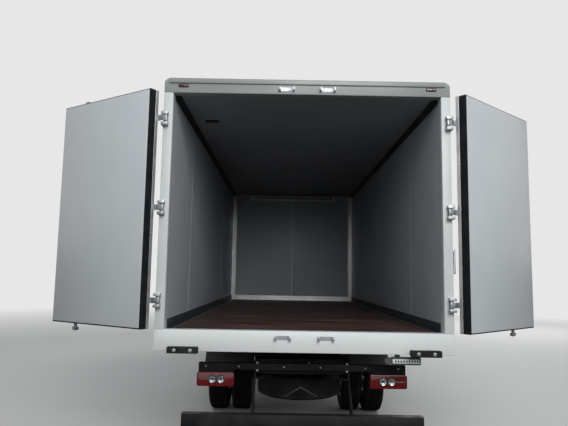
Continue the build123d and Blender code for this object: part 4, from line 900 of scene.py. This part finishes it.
def makeHeadlamps():
    low, high, deep = headlamp["low"], headlamp["high"], headlamp["deep"]
    inner, outer, corner, nip = (headlamp[key] for key in ("inner", "outer", "corner", "nip"))
    middle, inset, amberInset = (low + high) / 2, headlamp["coverInset"], headlamp["amberInset"]
    edge = [(x, cabFront + deep / 2, z) for x, z in (
        (inner + corner, low), (outer - corner, low), (outer - nip, low + nip), (outer, low + corner),
        (outer, high - corner), (outer - nip, high - nip), (outer - corner, high), (inner + corner, high),
        (inner + nip, high - nip), (inner, high - corner), (inner, low + corner), (inner + nip, low + nip))]
    narrowed = Matrix.Diagonal((0.985, 1, 1, 1)) @ Matrix.Translation((0.012, 0, 0))
    rim = moved(tubeRun(edge, 0.006, True, 2), narrowed)
    tray = [slab((inner, cabFront, low), (outer, cabFront + 0.006, high), 1, corner, 0.001), rim]
    bowls, bulbs = [], []
    radius = headlamp["bowlRadius"]
    bowlProfile = ((0.012, 0.002), (radius * 0.55, 0.006), (radius * 0.85, 0.014), (radius, 0.0235),
                   (radius + 0.003, 0.0235), (radius + 0.003, 0.001), (0.012, 0.001))
    bulbProfile = ((0.0, 0.018), (0.008, 0.016), (0.010, 0.010), (0.010, 0.001), (0.0, 0.001))
    for x in headlamp["bowls"]:
        spot = (x, cabFront + 0.004, middle)
        bowls.append(turned(bowlProfile, spot, (0, 1, 0), 48))
        bulbs.append(turned(bulbProfile, spot, (0, 1, 0), 24))
    coverY = cabFront + deep - 0.006
    amber = slab((headlamp["amberFrom"], cabFront + 0.004, low + amberInset),
                 (outer - nip, coverY, high - amberInset), 1, amberInset, 0.003)
    cover = slab((inner + inset, coverY, low + inset),
                 (outer - inset, coverY + headlamp["coverGauge"], high - inset), 1, 0.031, 0.001)
    finished(tray, "headlampTrays", "cab", "mirrorPlastic", ("headlamps",), pair=True)
    finished(bowls, "headlampBowls", "cab", "reflector", pair=True)
    finished(bulbs, "headlampBulbs", "cab", "lampClear", pair=True)
    finished(amber, "headlampAmber", "cab", "lampAmber", pair=True)
    finished(cover, "headlampCovers", "cab", "coverGlass", pair=True)


def makeCabSmallParts():
    back, rise = cab["repeater"]
    repeater = slab(*about((cabHalf + 0.004, cabFront - back, rise), (0.008, 0.045, 0.016)), 0, 0.012, 0.004)
    finished(repeater, "sideRepeaters", "cab", "lampAmber", pair=True)
    out, inset = cabHalf + cab["mirrorOut"], cab["glassInset"]
    back = cabFront - cab["mirrorBack"]
    glass = slab((out + inset, back - 0.002, cab["mirrorLow"] + inset),
                 (out + cab["mirrorWide"] - inset, back + 0.003, cab["mirrorHigh"] - inset), 1, 0.018, 0.001)
    finished(glass, "mirrorGlass", "cab", "reflector", pair=True)
    treads = []
    far, near = cab["treadSpan"]
    for rise in cab["treadRises"]:
        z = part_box("front_bumper")[0].z + rise
        for i in range(cab["treads"]):
            x = cabHalf - cab["treadOut"] + i * cab["treadPitch"]
            treads.append(block((x, cabFront - far, z),
                                (x + cab["treadWide"], cabFront - near, z + 0.004), 0.001, 1))
    finished(treads, "stepTreads", "cab", "tankAlloy", pair=True)
    start, middle, end = cab["dripSet"]
    places = (cabLow.y + start, cabLow.y + middle, cabFront - end)
    rail = [(cabHalf + 0.002, y, z) for y, z in zip(places, cab["dripRise"])]
    finished(tubeRun(rail, 0.006, False, 2), "dripRails", "cab", "sealRubber", pair=True)


# seats: a crowned cushion and back on a plain pedestal, with a head restraint in the top of the back;
# spans run from the seat's rear and base, and for the back and rests along its leaning plane
seat = dict(base=1.010, rear=0.200, gap=0.012, standInset=0.05, standDeep=(0.17, 0.57), standHigh=0.135,
            cushionDeep=(0.205, 0.638), cushionHigh=(0.142, 0.272), cushionRound=0.035,
            backDeep=(-0.042, 0.048), backHigh=(-0.045, 0.435), backRound=0.032, restHalf=0.13,
            restDeep=(-0.035, 0.045), restHigh=(0.475, 0.625), restRound=0.03, postOut=0.05,
            postDeep=0.004, postHigh=(0.41, 0.50), postRadius=0.006, lean=9.7, leanFrom=(0.115, 0.20),
            channel=0.006, channelWide=0.012, channelShare=0.27, voxel=0.015, pressure=4.0, steps=20,
            capMove=0.012, settle=6, fill=0.6)
seatRows = (("Driver", -0.870, -0.330, 1), ("Passenger", -0.220, 0.870, 2))


def puffed(piece, channels, axisUp):
    applyModifier(piece, "REMESH", mode="VOXEL", voxel_size=seat["voxel"])
    start = [vertex.co.copy() for vertex in piece.data.vertices]
    cloth = piece.modifiers.new("cloth", "CLOTH")
    cloth.settings.use_pressure = True
    cloth.settings.uniform_pressure_force = seat["pressure"]
    cloth.settings.effector_weights.gravity = 0
    for step in range(1, seat["steps"] + 1):
        bpy.context.scene.frame_set(step)
    pick(piece)
    bpy.ops.object.modifier_apply(modifier=cloth.name)
    bpy.context.scene.frame_set(1)
    for vertex, before in zip(piece.data.vertices, start):
        move = vertex.co - before
        if move.length > seat["capMove"]:
            vertex.co = before + move.normalized() * seat["capMove"]
    applyModifier(piece, "SMOOTH", factor=0.5, iterations=seat["settle"])
    applyModifier(piece, "SUBSURF", levels=1, render_levels=1)
    for vertex in piece.data.vertices:
        for x in channels:
            near = (vertex.co.x - x) / seat["channelWide"]
            if abs(near) < 3 and vertex.normal.dot(axisUp) > 0.5:
                vertex.co -= axisUp * seat["channel"] * math.exp(-near * near)
    smooth(piece, 60)


# a padded box: its spans across, in depth and in height, moved to its place and puffed
def pad(across, deep, high, rounding, spot, channels, axisUp):
    piece = block(*zip(across, deep, high), rounding, 4)
    puffed(moved(piece, spot), channels, axisUp)
    return piece


def makeSeats():
    base, rear, gap, inset = seat["base"], cabLow.y + seat["rear"], seat["gap"], seat["standInset"]
    leanY, leanZ = seat["leanFrom"]
    lean = Matrix.Rotation(math.radians(seat["lean"]), 4, "X")
    lean = Matrix.Translation((0, rear + leanY, base + leanZ)) @ lean
    stands = []
    for label, left, right, places in seatRows:
        standFrom, standTo = seat["standDeep"]
        stands.append(block((left + inset, rear + standFrom, base),
                            (right - inset, rear + standTo, base + seat["standHigh"]), 0.02, 3))
        share = (right - left) / places
        middles = [left + share * (i + 0.5) for i in range(places)]
        offset = share * seat["channelShare"]
        channels = [middle + way * offset for middle in middles for way in (-1, 1)]
        channels += [left + share] * (places > 1)
        across = (left + gap, right - gap)
        deep, high = [rear + y for y in seat["cushionDeep"]], [base + z for z in seat["cushionHigh"]]
        cushion = pad(across, deep, high, seat["cushionRound"], Matrix(), channels, Vector(upwards))
        upright = pad(across, seat["backDeep"], seat["backHigh"], seat["backRound"], lean, channels,
                      lean.to_3x3() @ Vector((0, 1, 0)))
        rests, posts = [], []
        for middle in middles:
            across = (middle - seat["restHalf"], middle + seat["restHalf"])
            rests.append(pad(across, seat["restDeep"], seat["restHigh"], seat["restRound"], lean, (),
                             Vector((0, 1, 0))))
            for x in (middle - seat["postOut"], middle + seat["postOut"]):
                low, high = (lean @ Vector((x, seat["postDeep"], z)) for z in seat["postHigh"])
                posts.append(roundBar(low, high, seat["postRadius"], 12))
        finished(posts, "restPosts" + label, "cab", "tankAlloy")
        for pieceName, parts in (("seatCushion", cushion), ("seatBack", upright), ("headRest", rests)):
            replaced = ("seats",) if label == "Driver" and pieceName == "seatCushion" else ()
            piece = finished(parts, pieceName + label, "cab", "seatCloth", replaced)
    finished(stands, "seatPedestals", "cab", "dashPlastic")


# dashboard: instrument hood with two plain dials, vents and a gear lever
dash = dict(hoodWide=0.36, hoodY=0.36, hoodZ=1.352, dialRadius=0.048, dialOut=0.08, wheelX=-0.60,
            vents=(-0.86, -0.16, 0.02, 0.80), ventHalf=0.07, ventLow=1.285, ventHigh=1.335,
            leverFoot=(-0.12, -0.52, 1.01), leverTop=(-0.14, -0.50, 1.27), knobZ=1.262)


def makeDash():
    x, y, z = dash["wheelX"], cabFront - dash["hoodY"], dash["hoodZ"]
    half, ventHalf, radius = dash["hoodWide"] / 2, dash["ventHalf"], dash["dialRadius"]
    foot, top = (Vector(dash[key]) + Vector((0, cabFront, 0)) for key in ("leverFoot", "leverTop"))
    details = [block((x - half, y - 0.03, z - 0.02), (x + half, y + 0.13, z + 0.055), 0.022, 3)]
    for ventX in dash["vents"]:
        details.append(slab((ventX - ventHalf, y - 0.053, dash["ventLow"]),
                            (ventX + ventHalf, y - 0.035, dash["ventHigh"]), 1, 0.012, 0.002))
    details += [
        roundBar(foot, top, 0.010, 16),
        turned(((0.0, 0.045), (0.018, 0.040), (0.026, 0.020), (0.018, 0.0), (0.0, -0.004)),
               (top.x, top.y, dash["knobZ"]), upwards, 32),
        turned(((0.0, 0.07), (0.02, 0.068), (0.05, 0.02), (0.065, 0.0), (0.0, 0.0)), foot, upwards, 32),
    ]
    finished(details, "dashDetails", "cab", "dashPlastic")
    dialProfile = ((0.0, 0.003), (radius, 0.002), (radius + 0.004, 0.006), (radius + 0.006, 0.0), (0.0, 0.0))
    dials = [turned(dialProfile, (x + way * dash["dialOut"], y - 0.030, z + 0.012), rearwards, 40)
             for way in (-1, 1)]
    finished(dials, "dials", "cab", "mirrorPlastic")


# cooling unit: louvred front, side vents and case seams
unit = dict(lowFront=0.090, highFront=0.440, deepLow=0.400, deepHigh=0.310, grilleHalf=0.70, grilleTall=0.25,
            grilleRound=0.02, grilleMargin=0.012, borderRadius=0.008, louvres=13, louvreDeep=0.018,
            louvreTurn=-38, barHalf=0.006, sideSlots=7, slotFrom=0.13, slotPitch=0.032, slotHigh=0.014,
            slotSpan=(0.09, 0.25), seamProud=0.0015)


def makeCondenser():
    low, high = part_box("condenser")
    foot = Vector((0, boxFront + unit["deepLow"], low.z + unit["lowFront"]))
    head = Vector((0, boxFront + unit["deepHigh"], low.z + unit["highFront"]))
    tilt = math.atan2(foot.y - head.y, head.z - foot.z)
    face = Matrix.Translation((foot + head) / 2) @ Matrix.Rotation(tilt, 4, "X")
    half, tall, deep, bar = unit["grilleHalf"], unit["grilleTall"] / 2, unit["louvreDeep"], unit["barHalf"]
    back = slab((-half, -0.003, -tall), (half, 0.002, tall), 1, unit["grilleRound"])
    louvres = [tubeRun(uprightLoop(-half, half, 0.004, -tall, tall), unit["borderRadius"], True, 2)]
    margin = unit["grilleMargin"]
    pitch = 2 * (tall - margin) / unit["louvres"]
    turn = Matrix.Rotation(math.radians(unit["louvreTurn"]), 4, "X")
    for i in range(unit["louvres"]):
        vane = block((-half + 0.008, -0.001, -0.002), (half - 0.008, deep, 0.002), 0.0008, 1)
        louvres.append(moved(vane, Matrix.Translation((0, 0, -tall + margin + (i + 0.5) * pitch)) @ turn))
    for x in (-half / 3, half / 3):
        louvres.append(block((x - bar, 0, -tall), (x + bar, deep - 0.002, tall), 0.002, 1))
    finished(moved(back, face), "condenserCore", "truck", "chassisPaint")
    finished(moved(joined(louvres), face), "condenserLouvres", "truck", "dashPlastic")
    slots = []
    start, end = unit["slotSpan"]
    for i in range(unit["sideSlots"]):
        z = low.z + unit["slotFrom"] + i * unit["slotPitch"]
        slots.append(slab((high.x - 0.002, boxFront + start, z),
                          (high.x + 0.002, boxFront + end, z + unit["slotHigh"]), 0, 0.006))
    finished(slots, "condenserVents", "truck", "chassisPaint", pair=True)
    y, bottom, top = boxFront + 0.02, high.z - 0.004, high.z + unit["seamProud"]
    seams = [block((-high.x + 0.03, y, bottom), (high.x - 0.03, y + 0.01, top), 0.0005, 1)]
    for x in (-0.5, 0.5):
        seams.append(block((x - 0.003, y, bottom),
                           (x + 0.003, boxFront + unit["deepHigh"] - 0.09, top), 0.0005, 1))
    finished(seams, "condenserSeams", "truck", "darkTrim")


# box outside: alloy rails and corner cappings with rivets, and amber side markers
capping = dict(leg=0.055, gauge=0.0025, bevel=0.0008, railHigh=0.095, rivetPitch=0.24, rivet=0.006,
               rivetHigh=0.003, rivetInset=0.014, railInset=0.018, markers=(0.9, 2.8, 4.7),
               markerHalf=0.045, markerLow=0.03, markerHigh=0.058, markerProud=0.012)


def makeBoxOutside():
    outer, top, gauge, leg = wallRight[1].x, roofBox[1].z, capping["gauge"], capping["leg"]
    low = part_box("box_floor")[0].z
    start, end = portalFront + 0.002, boxFront
    railTop, inset = low + capping["railHigh"], capping["rivetInset"]
    spans = (
        ((outer, start, low), (outer + gauge, end, railTop)),
        ((outer, start, top - leg), (outer + gauge, end, top)),
        ((outer - leg, start, top - 0.001), (outer + gauge, end, top + gauge)),
        ((outer, end - leg, low), (outer + gauge, end + gauge, top)),
        ((outer - leg, end - 0.001, low), (outer + gauge, end + gauge, top)),
    )
    rails = [block(*span, capping["bevel"], 1) for span in spans]
    finished(rails, "boxCappings", "truck", "tankAlloy", pair=True)
    across = block((-outer + leg, end, top - leg), (outer - leg, end + gauge, top + gauge),
                   capping["bevel"], 1)
    finished(across, "noseCapping", "truck", "tankAlloy")
    spots = []
    length, height = end - start - 0.1, top - low - 0.2
    count = int(length / capping["rivetPitch"])
    for i in range(count + 1):
        y = start + 0.05 + i * length / count
        spots += [(y, railTop - capping["railInset"]), (y, top - leg + inset)]
    count = int(height / capping["rivetPitch"])
    spots += [(end - leg + inset, low + 0.1 + i * height / count) for i in range(1, count)]
    model = boltHead((0, 0, 0), leftToRight, capping["rivet"], capping["rivetHigh"])
    rivets = [copied(model, Matrix.Translation((outer + gauge - 0.0005, *spot))) for spot in spots]
    bpy.data.objects.remove(model)
    finished(rivets, "boxRivets", "truck", "galvanised", pair=True)
    near, half = outer + gauge, capping["markerHalf"]
    far = near + capping["markerProud"]
    low, high = low + capping["markerLow"], low + capping["markerHigh"]
    markers = [slab((near, start + along - half, low), (far, start + along + half, high), 0, 0.010, 0.003)
               for along in capping["markers"]]
    finished(markers, "sideMarkers", "truck", "lampAmber", pair=True)


makePortal()
makeLeafEdges(-1, "Left")
makeLeafEdges(1, "Right")
makeCabSeals()
makeWipers()
makeHeadlamps()
makeCabSmallParts()
makeDash()
makeCondenser()
makeBoxOutside()
print("cab, cooling unit and box outside made")
makeSeats()
print("seats made")
makeLamps()
makeInside()
makeRearBits()
makeStrap()
print("portal, leaves, lamps and inside trims made")
makeWheels()
print("wheels made")


studio = dict(floorHalf=60.0, floorZ=-0.0005, fadeFrom=7.0, fadeTo=18.0, floorTone=(0.74, 0.735, 0.725),
              floorRough=0.85, bounceTone=(0.16, 0.158, 0.152), worldTone=(0.92, 0.96, 1.0),
              worldLight=0.36, backdrop=(0.80, 0.80, 0.80))


# the floor: pale where the camera sees it, darker where light bounces off it, and it fades into the backdrop
def makeFloor():
    nothingSelected()
    bpy.ops.mesh.primitive_plane_add(size=2 * studio["floorHalf"], location=(0, 0, studio["floorZ"]))
    ground = bpy.context.object
    ground.name = "studioFloor"
    bpy.ops.object.transform_apply(location=True, rotation=True, scale=True)
    tree, shader, place = newMaterial("studioGround")
    setInputs(tree, shader, {"Base Color": (*studio["floorTone"], 1), "Roughness": studio["floorRough"]})
    bounce = addNode(tree, "BsdfDiffuse", {"Color": (*studio["bounceTone"], 1)})
    away = addNode(tree, "VectorMath", {0: place}, operation="LENGTH").outputs["Value"]
    fade = addRange(tree, away, studio["fadeFrom"], studio["fadeTo"], 0, 1)
    seen = addNode(tree, "LightPath", {}).outputs["Is Camera Ray"]
    glow = addNode(tree, "Emission", {"Color": (*studio["backdrop"], 1)})
    near = addNode(tree, "MixShader", {"Fac": seen, 1: bounce.outputs["BSDF"], 2: shader.outputs["BSDF"]})
    mix = addNode(tree, "MixShader", {"Fac": addMath(tree, "MULTIPLY", seen, fade),
                                      1: near.outputs["Shader"], 2: glow.outputs["Emission"]})
    setInputs(tree, tree.nodes["Material Output"], {"Surface": mix.outputs["Shader"]})
    ground.data.materials.append(materials["studioGround"])


def makeWorld():
    world = bpy.data.worlds.new("studioWorld")
    bpy.context.scene.world = world
    world.use_nodes = True
    tree = world.node_tree
    back = tree.nodes["Background"]
    setInputs(tree, back, {"Color": (*studio["worldTone"], 1), "Strength": studio["worldLight"]})
    white = addNode(tree, "Background", {"Color": (*studio["backdrop"], 1)})
    rays = addNode(tree, "LightPath", {}).outputs
    shown = addMath(tree, "MAXIMUM", rays["Is Camera Ray"], rays["Is Glossy Ray"])
    shown = addMath(tree, "MAXIMUM", shown, rays["Is Transmission Ray"])
    mix = addNode(tree, "MixShader", {"Fac": shown, 1: back.outputs["Background"],
                                      2: white.outputs["Background"]})
    setInputs(tree, tree.nodes["World Output"], {"Surface": mix.outputs["Shader"]})


# big soft lamps: name, place, aim, size, watts, spread in degrees
studioLamps = (
    ("skyLamp", (0.0, -1.0, 9.0), (0.0, 1.0, 0.5), 10.0, 150, 180),
    ("rearLamp", (1.5, -12.0, 5.6), (0.0, -3.2, 1.1), 5.0, 130, 90),
    ("frontLamp", (7.0, 10.0, 5.5), (0.0, 2.5, 1.2), 6.0, 320, 180),
)


def makeStudioLamps():
    for lampName, place, aim, size, watts, spread in studioLamps:
        data = bpy.data.lights.new(lampName, "AREA")
        data.shape = "SQUARE"
        data.size = size
        data.spread = math.radians(spread)
        data.energy = watts
        turn = (Vector(aim) - Vector(place)).to_track_quat("-Z", "Y")
        linked(lampName, data).matrix_world = Matrix.Translation(place) @ turn.to_matrix().to_4x4()


# the photo's view, fitted to the portal: distances from the portal's rear face and bottom edge
view = dict(side=-0.1822, behind=4.218, above=0.5826, yaw=0.145, pitch=6.614, roll=0.983, focal=541.465,
            photoWidth=568, sensor=36)


def makeCamera():
    yaw, pitch, roll = (math.radians(view[key]) for key in ("yaw", "pitch", "roll"))
    ahead = Vector((math.sin(yaw) * math.cos(pitch), math.cos(yaw) * math.cos(pitch), math.sin(pitch)))
    right = Vector((math.cos(yaw), -math.sin(yaw), 0))
    up = right.cross(ahead)
    across = right * math.cos(roll) + up * math.sin(roll)
    upright = up * math.cos(roll) - right * math.sin(roll)
    data = bpy.data.cameras.new("photoCamera")
    data.sensor_fit = "HORIZONTAL"
    data.sensor_width = view["sensor"]
    data.lens = view["sensor"] * view["focal"] / view["photoWidth"]
    data.clip_end = 200
    camera = linked("photoCamera", data)
    basis = Matrix((across, upright, -ahead)).transposed().to_4x4()
    spot = Vector((view["side"], portalRear - view["behind"], portalLow.z + view["above"]))
    camera.matrix_world = Matrix.Translation(spot) @ basis
    bpy.context.scene.camera = camera


makeFloor()
makeWorld()
makeStudioLamps()
makeCamera()
bpy.context.scene.view_settings.view_transform = "Standard"
print("studio and camera ready")
